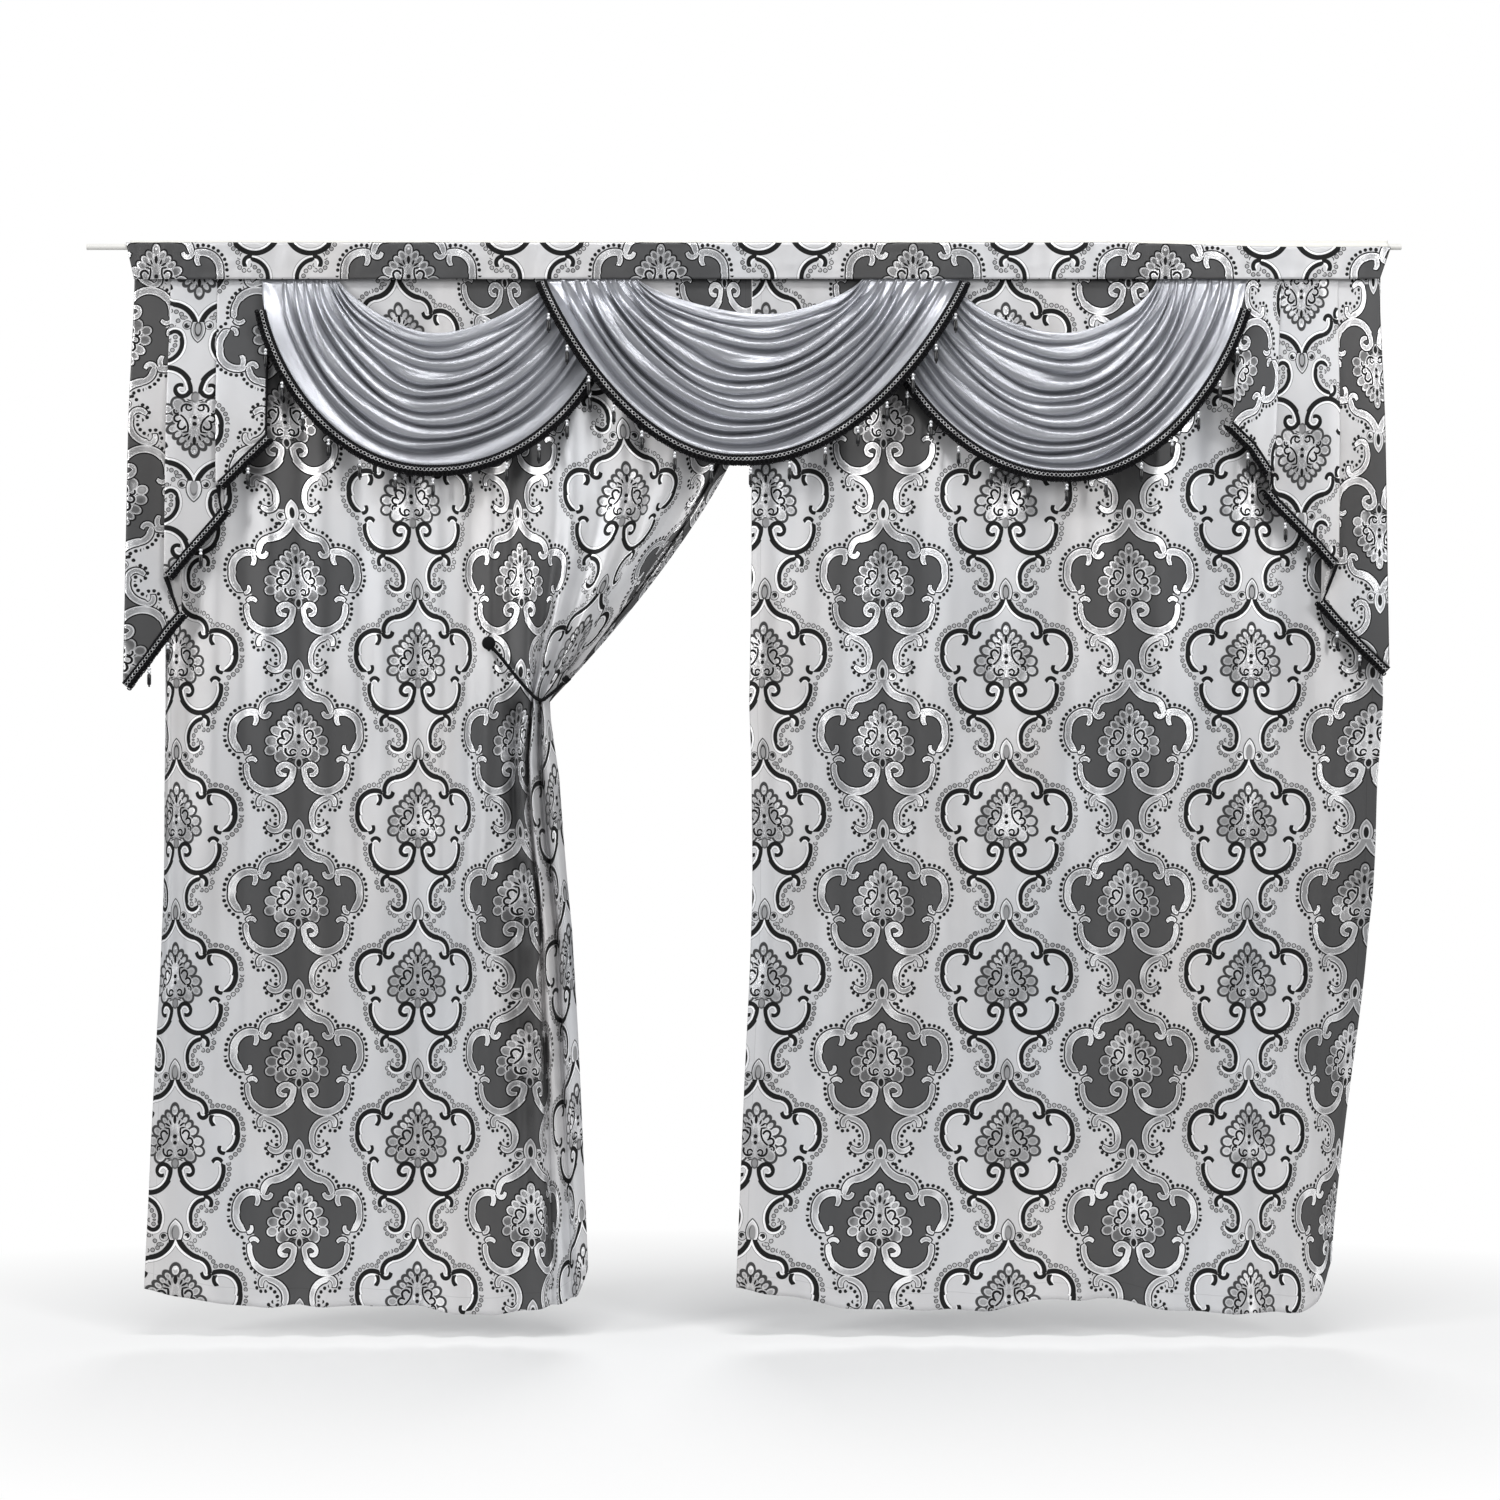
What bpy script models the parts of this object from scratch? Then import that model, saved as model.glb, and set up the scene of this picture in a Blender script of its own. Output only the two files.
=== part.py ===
"""A pair of tall jacquard curtains under a swagged valance, hung from one rod.

Metres, +Z up. The origin is on the rod's axis at the middle of the valance, +X runs to the
viewer's right along the rod and the room side faces -Y. Every cloth is a thin sheet, worked out
from its fold lines, and layers that are sewn together keep a hair's gap.
"""

import math
from collections import namedtuple

import bmesh
import bpy
from mathutils import Vector

# Cloth and the stack of layers that the heading holds
SHEET = 0.0012
GAP = 0.0003
PLY = SHEET + GAP

ROD_RADIUS = 0.007
ROD_LEFT = -1.570
ROD_RIGHT = 1.509

CASING_CLEAR = 0.0004
CASING_RADIUS = ROD_RADIUS + CASING_CLEAR + SHEET / 2
CASING_LEFT = -1.468
CASING_RIGHT = 1.478
CASING_FRONT_DROP = 0.030
CASING_TOP = 0.0150

BAND_DEPTH = -(CASING_RADIUS + PLY)
BAND_FOOT = -0.077
BAND_EDGE = namedtuple("BAND_EDGE", "left top right bottom_left bottom_right")(
    left=-1.476, top=0.0085, right=1.483, bottom_left=-1.457, bottom_right=1.457
)
BAND_SLIP_START = 0.80
BAND_SLIP_END = 1.27
BAND_SLIP = 0.010

SEAM = -0.064
PANEL_DEPTH = CASING_RADIUS - PLY
TAIL_DEPTH = PANEL_DEPTH - 3.4 * PLY
SIDE_SWAG_DEPTH = -0.0036
MIDDLE_SWAG_DEPTH = BAND_DEPTH + PLY
SEAM_RELIEF = 0.0026

# Where the curtain folds are measured, down from the seam
BELOW_TIE = 0.18
KNEE = -1.600
DROP_STARTS = 0.110
DROP_SETTLES = 0.260

Fold = namedtuple(
    "Fold",
    "flat head_x tie_x below_x knee_x hem_x upper_y tie_y knee_y hem_y tie_z hem_z",
)

# One row for each fold line of the left curtain, from its outer edge to the tied-back edge
LEFT_FOLDS = [
    Fold(0.000, -1.385, -1.387, -1.388, -1.396, -1.436, 0.007, 0.010, 0.008, 0.000, -1.00, -2.441),
    Fold(0.050, -1.370, -1.371, -1.372, -1.375, -1.387, 0.000, -0.009, -0.010, -0.006, -1.00, -2.452),
    Fold(0.105, -1.336, -1.335, -1.337, -1.342, -1.331, 0.007, 0.008, 0.006, 0.006, -1.00, -2.464),
    Fold(0.185, -1.270, -1.273, -1.275, -1.277, -1.263, -0.003, -0.012, -0.013, -0.010, -1.00, -2.474),
    Fold(0.260, -1.204, -1.207, -1.208, -1.209, -1.197, 0.008, 0.010, 0.012, 0.008, -1.00, -2.480),
    Fold(0.330, -1.141, -1.141, -1.142, -1.143, -1.136, -0.010, -0.010, -0.008, -0.012, -1.00, -2.481),
    Fold(0.402, -1.075, -1.075, -1.075, -1.075, -1.073, 0.009, 0.012, 0.010, 0.006, -1.00, -2.481),
    Fold(0.475, -1.010, -1.008, -1.006, -1.005, -1.005, -0.008, -0.012, -0.014, -0.010, -1.00, -2.481),
    Fold(0.550, -0.940, -0.938, -0.937, -0.937, -0.937, 0.010, 0.012, 0.010, 0.010, -1.00, -2.481),
    Fold(0.625, -0.869, -0.867, -0.866, -0.865, -0.872, -0.011, -0.014, -0.013, -0.009, -1.00, -2.481),
    Fold(0.698, -0.801, -0.801, -0.801, -0.801, -0.804, 0.008, 0.010, 0.008, 0.012, -1.00, -2.482),
    Fold(0.775, -0.736, -0.738, -0.737, -0.736, -0.731, -0.010, -0.012, -0.014, -0.012, -0.98, -2.494),
    Fold(0.850, -0.672, -0.682, -0.682, -0.682, -0.668, 0.009, 0.009, 0.010, 0.010, -0.95, -2.504),
    Fold(0.915, -0.621, -0.627, -0.629, -0.630, -0.607, -0.009, -0.016, -0.014, -0.010, -0.93, -2.499),
    Fold(0.970, -0.578, -0.587, -0.588, -0.585, -0.562, 0.008, -0.008, -0.006, 0.006, -0.98, -2.493),
    Fold(1.030, -0.534, -0.533, -0.550, -0.518, -0.506, -0.010, -0.024, -0.022, -0.012, -1.035, -2.486),
    Fold(1.100, -0.478, -0.527, -0.537, -0.507, -0.482, 0.009, 0.016, 0.016, 0.004, -1.045, -2.480),
    Fold(1.165, -0.424, -0.520, -0.526, -0.494, -0.457, -0.010, -0.024, -0.020, -0.012, -1.052, -2.472),
    Fold(1.220, -0.372, -0.508, -0.507, -0.472, -0.437, 0.009, 0.006, 0.006, 0.004, -1.058, -2.462),
    Fold(1.285, -0.309, -0.497, -0.484, -0.452, -0.416, -0.010, -0.022, -0.018, -0.014, -1.062, -2.448),
    Fold(1.340, -0.257, -0.487, -0.464, -0.434, -0.396, 0.008, 0.004, 0.004, 0.004, -1.064, -2.390),
    Fold(1.420, -0.190, -0.503, -0.488, -0.461, -0.428, -0.009, 0.031, 0.030, 0.026, -1.066, -2.396),
    Fold(1.500, -0.120, -0.487, -0.470, -0.440, -0.404, 0.008, 0.026, 0.026, 0.024, -1.066, -2.398),
    Fold(1.580, -0.060, -0.504, -0.490, -0.465, -0.434, -0.006, 0.048, 0.046, 0.044, -1.066, -2.404),
    Fold(1.650, -0.012, -0.490, -0.474, -0.446, -0.412, 0.000, 0.044, 0.044, 0.042, -1.066, -2.410),
]
SWEEP_FROM = 0.970
SWEEP_SHORT = 0.35
SWEEP_LONG = 0.70
SWEEP_BEND = 1.4
TIGHT_FROM = 14
FOLD_ROUND = 0.18

# The right curtain hangs free, so its rows keep a middle height in place of the tie
RIGHT_FOLDS = [
    Fold(0.000, -0.002, -0.018, -0.012, -0.014, -0.049, 0.003, 0.006, 0.006, 0.004, -1.06, -2.439),
    Fold(0.060, 0.046, 0.034, 0.038, 0.038, 0.010, -0.007, -0.012, -0.012, -0.010, -1.06, -2.449),
    Fold(0.140, 0.120, 0.110, 0.112, 0.112, 0.092, 0.007, 0.010, 0.012, 0.010, -1.06, -2.463),
    Fold(0.235, 0.208, 0.202, 0.203, 0.203, 0.188, -0.008, -0.010, -0.008, -0.012, -1.06, -2.480),
    Fold(0.325, 0.292, 0.290, 0.290, 0.290, 0.280, 0.008, 0.012, 0.014, 0.010, -1.06, -2.489),
    Fold(0.410, 0.372, 0.372, 0.372, 0.372, 0.366, -0.009, -0.012, -0.012, -0.010, -1.06, -2.490),
    Fold(0.500, 0.457, 0.458, 0.458, 0.458, 0.457, 0.008, 0.010, 0.010, 0.012, -1.06, -2.490),
    Fold(0.590, 0.543, 0.545, 0.545, 0.545, 0.548, -0.008, -0.012, -0.014, -0.012, -1.06, -2.490),
    Fold(0.690, 0.640, 0.641, 0.641, 0.641, 0.648, 0.008, 0.008, 0.008, 0.006, -1.06, -2.470),
    Fold(0.790, 0.735, 0.737, 0.736, 0.736, 0.745, -0.008, -0.010, -0.010, -0.010, -1.06, -2.466),
    Fold(0.895, 0.836, 0.838, 0.836, 0.836, 0.848, 0.008, 0.012, 0.012, 0.012, -1.06, -2.467),
    Fold(1.000, 0.936, 0.937, 0.934, 0.934, 0.948, -0.009, -0.012, -0.014, -0.010, -1.06, -2.487),
    Fold(1.100, 1.032, 1.031, 1.027, 1.026, 1.040, 0.008, 0.010, 0.008, 0.010, -1.06, -2.496),
    Fold(1.200, 1.128, 1.126, 1.120, 1.118, 1.128, -0.008, -0.012, -0.012, -0.012, -1.06, -2.496),
    Fold(1.300, 1.222, 1.219, 1.212, 1.208, 1.208, 0.008, 0.012, 0.014, 0.010, -1.06, -2.496),
    Fold(1.395, 1.312, 1.307, 1.298, 1.290, 1.274, -0.002, -0.010, -0.010, -0.010, -1.06, -2.494),
    Fold(1.480, 1.392, 1.386, 1.375, 1.364, 1.322, 0.006, 0.008, 0.010, 0.008, -1.06, -2.458),
    Fold(1.555, 1.462, 1.466, 1.452, 1.430, 1.347, -0.003, -0.004, -0.004, -0.002, -1.06, -2.372),
]

# One row for each swag: where its neckline and its hem start, lie lowest and end, from the seam
Swag = namedtuple(
    "Swag",
    "name neck_left neck_x neck_right neck_drop neck_round hem_left hem_x hem_right hem_drop"
    " hem_round left_spread right_spread depth rise left_hold right_hold braid_left braid_right",
)
SWAGS = [
    Swag("left", -0.989, -0.747, -0.471, 0.1450, 0.75, -1.160, -0.752, -0.319, 0.4560, 0.58,
         2.0, 1.6, SIDE_SWAG_DEPTH, 0.075, 0.80, 0.28, -0.152, -0.250),
    Swag("middle", -0.284, 0.019, 0.251, 0.1020, 0.60, -0.501, -0.035, 0.483, 0.4320, 0.88,
         1.8, 1.8, MIDDLE_SWAG_DEPTH, 0.050, 1.00, 1.00, -0.080, -0.080),
    Swag("right", 0.452, 0.715, 0.940, 0.1450, 0.60, 0.258, 0.715, 1.148, 0.4690, 0.70,
         1.6, 2.0, SIDE_SWAG_DEPTH, 0.075, 0.28, 0.80, -0.250, -0.148),
]
SWAG_BULGE = 0.055
SWAG_COLUMNS = 18
HOLD_REACH = 1.5
FREE_BELOW = BAND_FOOT - 0.004
NECK_POWER = 1.3
HEM_POWER = 2.0

# One row for each fold of a swag: its crest and groove, as shares of the way from the neckline
# to the hem, and how deep the groove is at the left, in the middle and at the right
Pleat = namedtuple("Pleat", "crest groove left middle right")
PLEATS = {
    "left": [
        Pleat(0.075, 0.115, 0.008, 0.006, 0.005),
        Pleat(0.160, 0.195, 0.010, 0.007, 0.006),
        Pleat(0.255, 0.290, 0.011, 0.005, 0.009),
        Pleat(0.360, 0.395, 0.012, 0.009, 0.010),
        Pleat(0.455, 0.490, 0.013, 0.011, 0.006),
        Pleat(0.560, 0.600, 0.014, 0.012, 0.009),
        Pleat(0.665, 0.700, 0.013, 0.012, 0.010),
        Pleat(0.755, 0.790, 0.013, 0.010, 0.008),
        Pleat(0.845, 0.880, 0.014, 0.011, 0.009),
    ],
    "middle": [
        Pleat(0.065, 0.100, 0.007, 0.005, 0.006),
        Pleat(0.135, 0.170, 0.009, 0.007, 0.006),
        Pleat(0.230, 0.265, 0.010, 0.010, 0.008),
        Pleat(0.350, 0.385, 0.011, 0.010, 0.007),
        Pleat(0.450, 0.485, 0.013, 0.012, 0.012),
        Pleat(0.540, 0.575, 0.012, 0.009, 0.011),
        Pleat(0.630, 0.665, 0.011, 0.007, 0.010),
        Pleat(0.715, 0.750, 0.014, 0.012, 0.013),
        Pleat(0.800, 0.835, 0.012, 0.010, 0.011),
        Pleat(0.890, 0.925, 0.011, 0.009, 0.010),
    ],
    "right": [
        Pleat(0.060, 0.095, 0.006, 0.006, 0.008),
        Pleat(0.160, 0.195, 0.008, 0.008, 0.007),
        Pleat(0.265, 0.300, 0.009, 0.010, 0.010),
        Pleat(0.390, 0.425, 0.010, 0.012, 0.011),
        Pleat(0.480, 0.515, 0.008, 0.008, 0.010),
        Pleat(0.560, 0.595, 0.009, 0.010, 0.011),
        Pleat(0.650, 0.685, 0.010, 0.011, 0.013),
        Pleat(0.745, 0.780, 0.011, 0.012, 0.014),
        Pleat(0.830, 0.865, 0.009, 0.010, 0.013),
        Pleat(0.910, 0.945, 0.007, 0.008, 0.011),
    ],
}

# One row for each fold line of a tail, from its inner edge out, with the ply that it lies on
# and the bend there: 1 folds back at its outer side, -1 at its inner side, 0 runs on
TailFold = namedtuple("TailFold", "head_x hem_x ply bend hem_z")
TAIL_FOLDS = {
    "left": [
        TailFold(-1.146, -1.143, 0.00, 0, -0.445),
        TailFold(-1.200, -1.196, 0.00, 0, -0.496),
        TailFold(-1.261, -1.258, 0.00, 1, -0.555),
        TailFold(-1.241, -1.244, 1.00, -1, -0.612),
        TailFold(-1.263, -1.266, 2.00, 0, -0.636),
        TailFold(-1.328, -1.336, 0.05, 0, -0.718),
        TailFold(-1.371, -1.380, 0.00, 1, -0.768),
        TailFold(-1.340, -1.343, 1.00, -1, -0.853),
        TailFold(-1.372, -1.381, 2.00, 0, -0.893),
        TailFold(-1.420, -1.428, 1.60, 0, -0.958),
        TailFold(-1.459, -1.478, 1.40, 0, -1.024),
    ],
    "right": [
        TailFold(1.130, 1.107, 0.00, 0, -0.416),
        TailFold(1.180, 1.160, 0.00, 0, -0.468),
        TailFold(1.227, 1.203, 0.00, 1, -0.528),
        TailFold(1.206, 1.195, 1.00, -1, -0.570),
        TailFold(1.229, 1.218, 2.00, 0, -0.596),
        TailFold(1.318, 1.311, 0.05, 0, -0.694),
        TailFold(1.359, 1.354, 0.00, 1, -0.740),
        TailFold(1.330, 1.316, 1.00, -1, -0.825),
        TailFold(1.360, 1.352, 2.00, 0, -0.862),
        TailFold(1.412, 1.410, 1.60, 0, -0.925),
        TailFold(1.459, 1.474, 1.40, 0, -0.988),
    ],
}
TAIL_FRONT = -0.040
TAIL_PITCH = 0.0065
TAIL_SETTLES = 0.38

# Black braid with a beaded fringe
BRAID_THICKNESS = 0.003
BRAID_WIDTH = 0.034
BRAID_SHIFT = 0.044
SWAG_BRAID_CLEAR = 0.0007
TAIL_BRAID_CLEAR = 0.0014
DROP_PITCH = 0.086
DROP_FIRST = 0.035
DROP_ROOT = 0.006
BeadRing = namedtuple("BeadRing", "down radius")
BEAD_RINGS = [
    BeadRing(0.000, 0.0016),
    BeadRing(0.020, 0.0032),
    BeadRing(0.030, 0.0018),
    BeadRing(0.036, 0.0042),
    BeadRing(0.060, 0.0040),
]

# The tie that pulls the left curtain's edge to a button
TIE_RADIUS = 0.0045
BUTTON_RADIUS = 0.0160
BUTTON_THICKNESS = 0.0120
BUTTON_AT = Vector((-0.6268, -0.0170, -0.9290))
TIE_ROUTE = [
    (-0.6158, -0.0230, -0.9412),
    (-0.5920, -0.0270, -0.9690),
    (-0.5700, -0.0290, -0.9970),
    (-0.5480, -0.0302, -1.0240),
    (-0.5290, -0.0305, -1.0440),
    (-0.5150, -0.0305, -1.0580),
    (-0.5000, -0.0300, -1.0620),
    (-0.4870, -0.0270, -1.0530),
    (-0.4740, -0.0190, -1.0420),
    (-0.4534, -0.0089, -1.0218),
]
KNOT_AT = Vector((-0.4466, -0.0056, -1.0135))
KNOT_SIZE = (0.0130, 0.0080, 0.0090)

JACQUARD = ("jacquard", (0.62, 0.62, 0.64), 0.45, 0.0)
SATIN = ("satin", (0.26, 0.28, 0.32), 0.35, 0.0)
LINING = ("lining", (0.86, 0.85, 0.80), 0.80, 0.0)
TRIM = ("trim", (0.02, 0.02, 0.02), 0.60, 0.0)
ROD_PAINT = ("rod_paint", (0.82, 0.81, 0.78), 0.40, 0.0)


def ease(t):
    t = min(max(t, 0.0), 1.0)
    return t * t * (3 - 2 * t)


def mix(a, b, t):
    return a + (b - a) * t


def spline(values, position):
    """A smooth curve through evenly numbered values, read at a place between them."""
    last = len(values) - 1
    low = min(int(position), last - 1)
    t = position - low
    before = values[max(low - 1, 0)]
    start, end = values[low], values[low + 1]
    after = values[min(low + 2, last)]
    rise, fall = (end - before) / 2, (after - start) / 2
    return (
        start * (1 + 2 * t) * (1 - t) ** 2
        + rise * t * (1 - t) ** 2
        + end * t * t * (3 - 2 * t)
        + fall * t * t * (t - 1)
    )


def stations(heights, values, z):
    """A smooth curve through values that are given at falling heights."""
    for low in range(len(heights) - 1):
        if z >= heights[low + 1] or low == len(heights) - 2:
            span = heights[low + 1] - heights[low]
            return spline(values, low + min(max((z - heights[low]) / span, 0.0), 1.0))


def material(spec):
    name, colour, roughness, metallic = spec
    found = bpy.data.materials.get(name)
    if found:
        return found
    made = bpy.data.materials.new(name)
    made.use_nodes = True
    shader = made.node_tree.nodes["Principled BSDF"]
    shader.inputs["Base Color"].default_value = (*colour, 1)
    shader.inputs["Roughness"].default_value = roughness
    shader.inputs["Metallic"].default_value = metallic
    return made


def add_object(name, mesh, spec, smooth=True):
    mesh.materials.append(material(spec))
    if smooth:
        mesh.shade_smooth()
        mesh.set_sharp_from_angle(angle=math.radians(50))
    piece = bpy.data.objects.new(name, mesh)
    COLLECTION.objects.link(piece)
    return piece


def sheet(name, rows, spec, thickness=SHEET):
    """A cloth: an open surface through rows of points, thickened evenly to both sides."""
    mesh = bpy.data.meshes.new(name)
    across = len(rows[0])
    faces = [
        (r * across + c, r * across + c + 1, (r + 1) * across + c + 1, (r + 1) * across + c)
        for r in range(len(rows) - 1)
        for c in range(across - 1)
    ]
    mesh.from_pydata([point for row in rows for point in row], [], faces)
    piece = add_object(name, mesh, spec)
    thicken = piece.modifiers.new("thickness", "SOLIDIFY")
    thicken.thickness = thickness
    thicken.offset = 0
    return piece


def make_rod():
    middle = (ROD_LEFT + ROD_RIGHT) / 2
    bpy.ops.mesh.primitive_cylinder_add(
        vertices=24,
        radius=ROD_RADIUS,
        depth=ROD_RIGHT - ROD_LEFT,
        location=(middle, 0, 0),
        rotation=(0, math.pi / 2, 0),
    )
    rod = bpy.context.object
    rod.name = "rod"
    rod.data.materials.append(material(ROD_PAINT))
    rod.data.shade_smooth()
    rod.data.set_sharp_from_angle(angle=math.radians(50))
    for collection in list(rod.users_collection):
        collection.objects.unlink(rod)
    COLLECTION.objects.link(rod)


def make_casing():
    """The lining sleeve that the rod runs through, pinched into a low heading above it."""
    pinch = PLY / 2
    shoulder = math.asin(pinch / CASING_RADIUS)
    steps = 6
    over_front = [
        (-CASING_RADIUS * math.cos(a), CASING_RADIUS * math.sin(a))
        for a in (k / steps * (math.pi / 2 - shoulder) for k in range(steps + 1))
    ]
    front = [(-CASING_RADIUS, -CASING_FRONT_DROP)] + over_front
    front.append((-pinch, CASING_TOP - SHEET / 2 - pinch))
    fold = [(0, CASING_TOP - SHEET / 2)]
    back = [(-y, z) for y, z in reversed(front[1:])] + [(CASING_RADIUS, BAND_FOOT)]
    profile = front + fold + back
    columns = 6
    rows = [
        [(mix(CASING_LEFT, CASING_RIGHT, k / columns), y, z) for k in range(columns + 1)]
        for y, z in profile
    ]
    sheet("header_casing", rows, LINING)


def make_band():
    """The jacquard strip on the face of the casing, which slips lower at its right end."""
    columns = 24
    top, foot = [], []
    for k in range(columns + 1):
        x = mix(BAND_EDGE.left, BAND_EDGE.right, k / columns)
        slip = BAND_SLIP * ease((x - BAND_SLIP_START) / (BAND_SLIP_END - BAND_SLIP_START))
        top.append((x, BAND_DEPTH, BAND_EDGE.top - slip))
        x = mix(BAND_EDGE.bottom_left, BAND_EDGE.bottom_right, k / columns)
        foot.append((x, BAND_DEPTH, BAND_FOOT))
    sheet("header_band", [top, foot], JACQUARD)


def sweep(fold, t):
    """How far a fold line has swung from the tie, at 0, to where it hangs straight."""
    share = (fold.flat - SWEEP_FROM) / (LEFT_FOLDS[-1].flat - SWEEP_FROM)
    reach = mix(SWEEP_SHORT, SWEEP_LONG, min(max(share, 0.0), 1.0))
    return 1 - (1 - min(t / reach, 1.0)) ** SWEEP_BEND


def fold_point(fold, above, share):
    """A point of a curtain's fold line: above or below the tie, and how far down that part."""
    grown = 1.0
    if above:
        z = mix(SEAM, fold.tie_z, share)
        swung = sweep(fold, 1 - share)
        x = mix(fold.tie_x, fold.head_x, swung)
        loose = mix(fold.tie_y, fold.upper_y, swung)
        grown = ease((-z - DROP_STARTS) / DROP_SETTLES)
        return Vector((x, mix(PANEL_DEPTH, loose, grown), z))
    z = mix(fold.tie_z, fold.hem_z, share)
    heights = [fold.tie_z, fold.tie_z - BELOW_TIE, KNEE, fold.hem_z]
    x = stations(heights, [fold.tie_x, fold.below_x, fold.knee_x, fold.hem_x], z)
    y = stations(heights, [fold.tie_y, fold.tie_y, fold.knee_y, fold.hem_y], z)
    return Vector((x, y, z))


def curtain_rows(folds, places, above_shares, below_shares):
    rows = []
    for above, shares in ((True, above_shares), (False, below_shares)):
        for share in shares:
            line = [fold_point(fold, above, share) for fold in folds]
            rows.append([spline(line, place) for place in places])
    return rows


def make_curtains():
    """Both curtains; the bunched part of the left one is rounded at each fold."""
    tight = []
    for k in range(TIGHT_FROM, len(LEFT_FOLDS) - 1):
        tight += [k + FOLD_ROUND, k + 1 - FOLD_ROUND]
    places = list(range(TIGHT_FROM)) + tight + [len(LEFT_FOLDS) - 1]
    above = [0, 0.05, 0.15, 0.28, 0.42, 0.54, 0.65, 0.75, 0.84, 0.92, 0.97]
    below = [0, 0.03, 0.07, 0.13, 0.22, 0.33, 0.46, 0.60, 0.74, 0.88, 1]
    sheet("curtain_left", curtain_rows(LEFT_FOLDS, places, above, below), JACQUARD)
    places = list(range(len(RIGHT_FOLDS)))
    above = [0, 0.06, 0.2, 0.36, 0.68]
    below = [0, 0.2, 0.4, 0.6, 0.8, 1]
    sheet("curtain_right", curtain_rows(RIGHT_FOLDS, places, above, below), JACQUARD)


def swag_point(swag, across, down, relief):
    """A point of a swag: across from -1 to 1, down from its neckline to its hem."""
    right = across > 0
    neck_end = swag.neck_right if right else swag.neck_left
    hem_end = swag.hem_right if right else swag.hem_left
    spread = down ** (swag.right_spread if right else swag.left_spread)
    end = mix(neck_end, hem_end, spread)
    middle = mix(swag.neck_x, swag.hem_x, down)
    wide = abs(math.sin(across * math.pi / 2))
    power = mix(NECK_POWER, HEM_POWER, down)
    fullness = mix(swag.neck_round, swag.hem_round, down)
    drop = mix(swag.neck_drop, swag.hem_drop, down) * (1 - wide**power) ** fullness
    z = SEAM - drop
    x = mix(middle, end, wide)
    below = max(0.0, FREE_BELOW - z)
    hold = mix(1.0, swag.right_hold if right else swag.left_hold, ease(abs(across) * HOLD_REACH))
    bulge = SWAG_BULGE * hold * (1 - math.exp(-below / swag.rise))
    tuck = min(max(relief, SEAM_RELIEF), SEAM_RELIEF + bulge / 2) if relief > 0 else 0.0
    return Vector((x, swag.depth - bulge + tuck, z))


def pleat_depth(pleat, across):
    end = pleat.right if across > 0 else pleat.left
    return mix(pleat.middle, end, abs(across))


def swag_columns(swag, down):
    """Even steps across a swag, between its ends and the two places where it leaves the band."""
    power = mix(NECK_POWER, HEM_POWER, down)
    fullness = mix(swag.neck_round, swag.hem_round, down)
    share = (SEAM - FREE_BELOW) / mix(swag.neck_drop, swag.hem_drop, down)
    wide = (1 - share ** (1 / fullness)) ** (1 / power)
    edge = math.asin(wide) * 2 / math.pi
    steps = SWAG_COLUMNS - 2
    return [-1.0] + [mix(-edge, edge, k / steps) for k in range(steps + 1)] + [1.0]


def swag_row(swag, down, depth_at):
    return [swag_point(swag, a, down, depth_at(a)) for a in swag_columns(swag, down)]


def make_swag(swag):
    rows = [swag_row(swag, 0.0, lambda a: 0.0)]
    for pleat in PLEATS[swag.name]:
        rows.append(swag_row(swag, pleat.crest, lambda a: 0.0))
        rows.append(swag_row(swag, pleat.groove, lambda a: pleat_depth(pleat, a)))
    rows.append(swag_row(swag, 1.0, lambda a: 0.0))
    sheet("swag_" + swag.name, rows, SATIN)


def tail_section(side, share):
    """A tail's back-and-forth section, at a share of the way from the seam to its slanting hem."""
    outward = -1 if side == "left" else 1
    section = []
    for fold in TAIL_FOLDS[side]:
        z = mix(SEAM, fold.hem_z, share)
        x = mix(fold.head_x, fold.hem_x, share)
        loose = ease((BAND_FOOT - z) / TAIL_SETTLES)
        front = mix(TAIL_DEPTH, TAIL_FRONT, loose)
        pitch = mix(PLY, TAIL_PITCH, loose)
        inset = -fold.bend * outward * pitch / 2
        halves = [(inset, 0.0), (0.0, 0.5), (inset, 1.0)] if fold.bend else [(0.0, 0.0)]
        for aside, more in halves:
            section.append(Vector((x + aside, front + (fold.ply + more) * pitch, z)))
    return section


def shown_hems(side):
    """The stretches of a tail's hem that face the room, between the bends behind them."""
    points = tail_section(side, 1.0)
    stretches, at = [[]], 0
    for fold in TAIL_FOLDS[side]:
        if fold.bend == 1:
            stretches[-1].append(points[at])
        elif fold.bend == -1:
            stretches.append([points[at + 2]])
        else:
            stretches[-1].append(points[at])
        at += 3 if fold.bend else 1
    return stretches


def make_tail(side):
    shares = [0, 0.03, 0.10, 0.22, 0.40, 0.60, 0.80, 1]
    sheet("tail_" + side, [tail_section(side, share) for share in shares], JACQUARD)
    for step, hem in zip(("upper", "middle", "lower"), shown_hems(side)):
        out = [Vector((0, 0, -1))] * len(hem)
        make_braid("tail_" + side + "_" + step, hem, out, TAIL_BRAID_CLEAR, BRAID_SHIFT)


def joined_with(piece, extra):
    """Unites a piece with the shapes of another mesh, for good."""
    helper = bpy.data.objects.new(piece.name + "_extra", extra)
    COLLECTION.objects.link(helper)
    unite = piece.modifiers.new("unite", "BOOLEAN")
    unite.operation = "UNION"
    unite.object = helper
    bpy.context.view_layer.update()
    graph = bpy.context.evaluated_depsgraph_get()
    whole = bpy.data.meshes.new_from_object(piece.evaluated_get(graph))
    piece.modifiers.clear()
    piece.data = whole
    bpy.data.objects.remove(helper)


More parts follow.
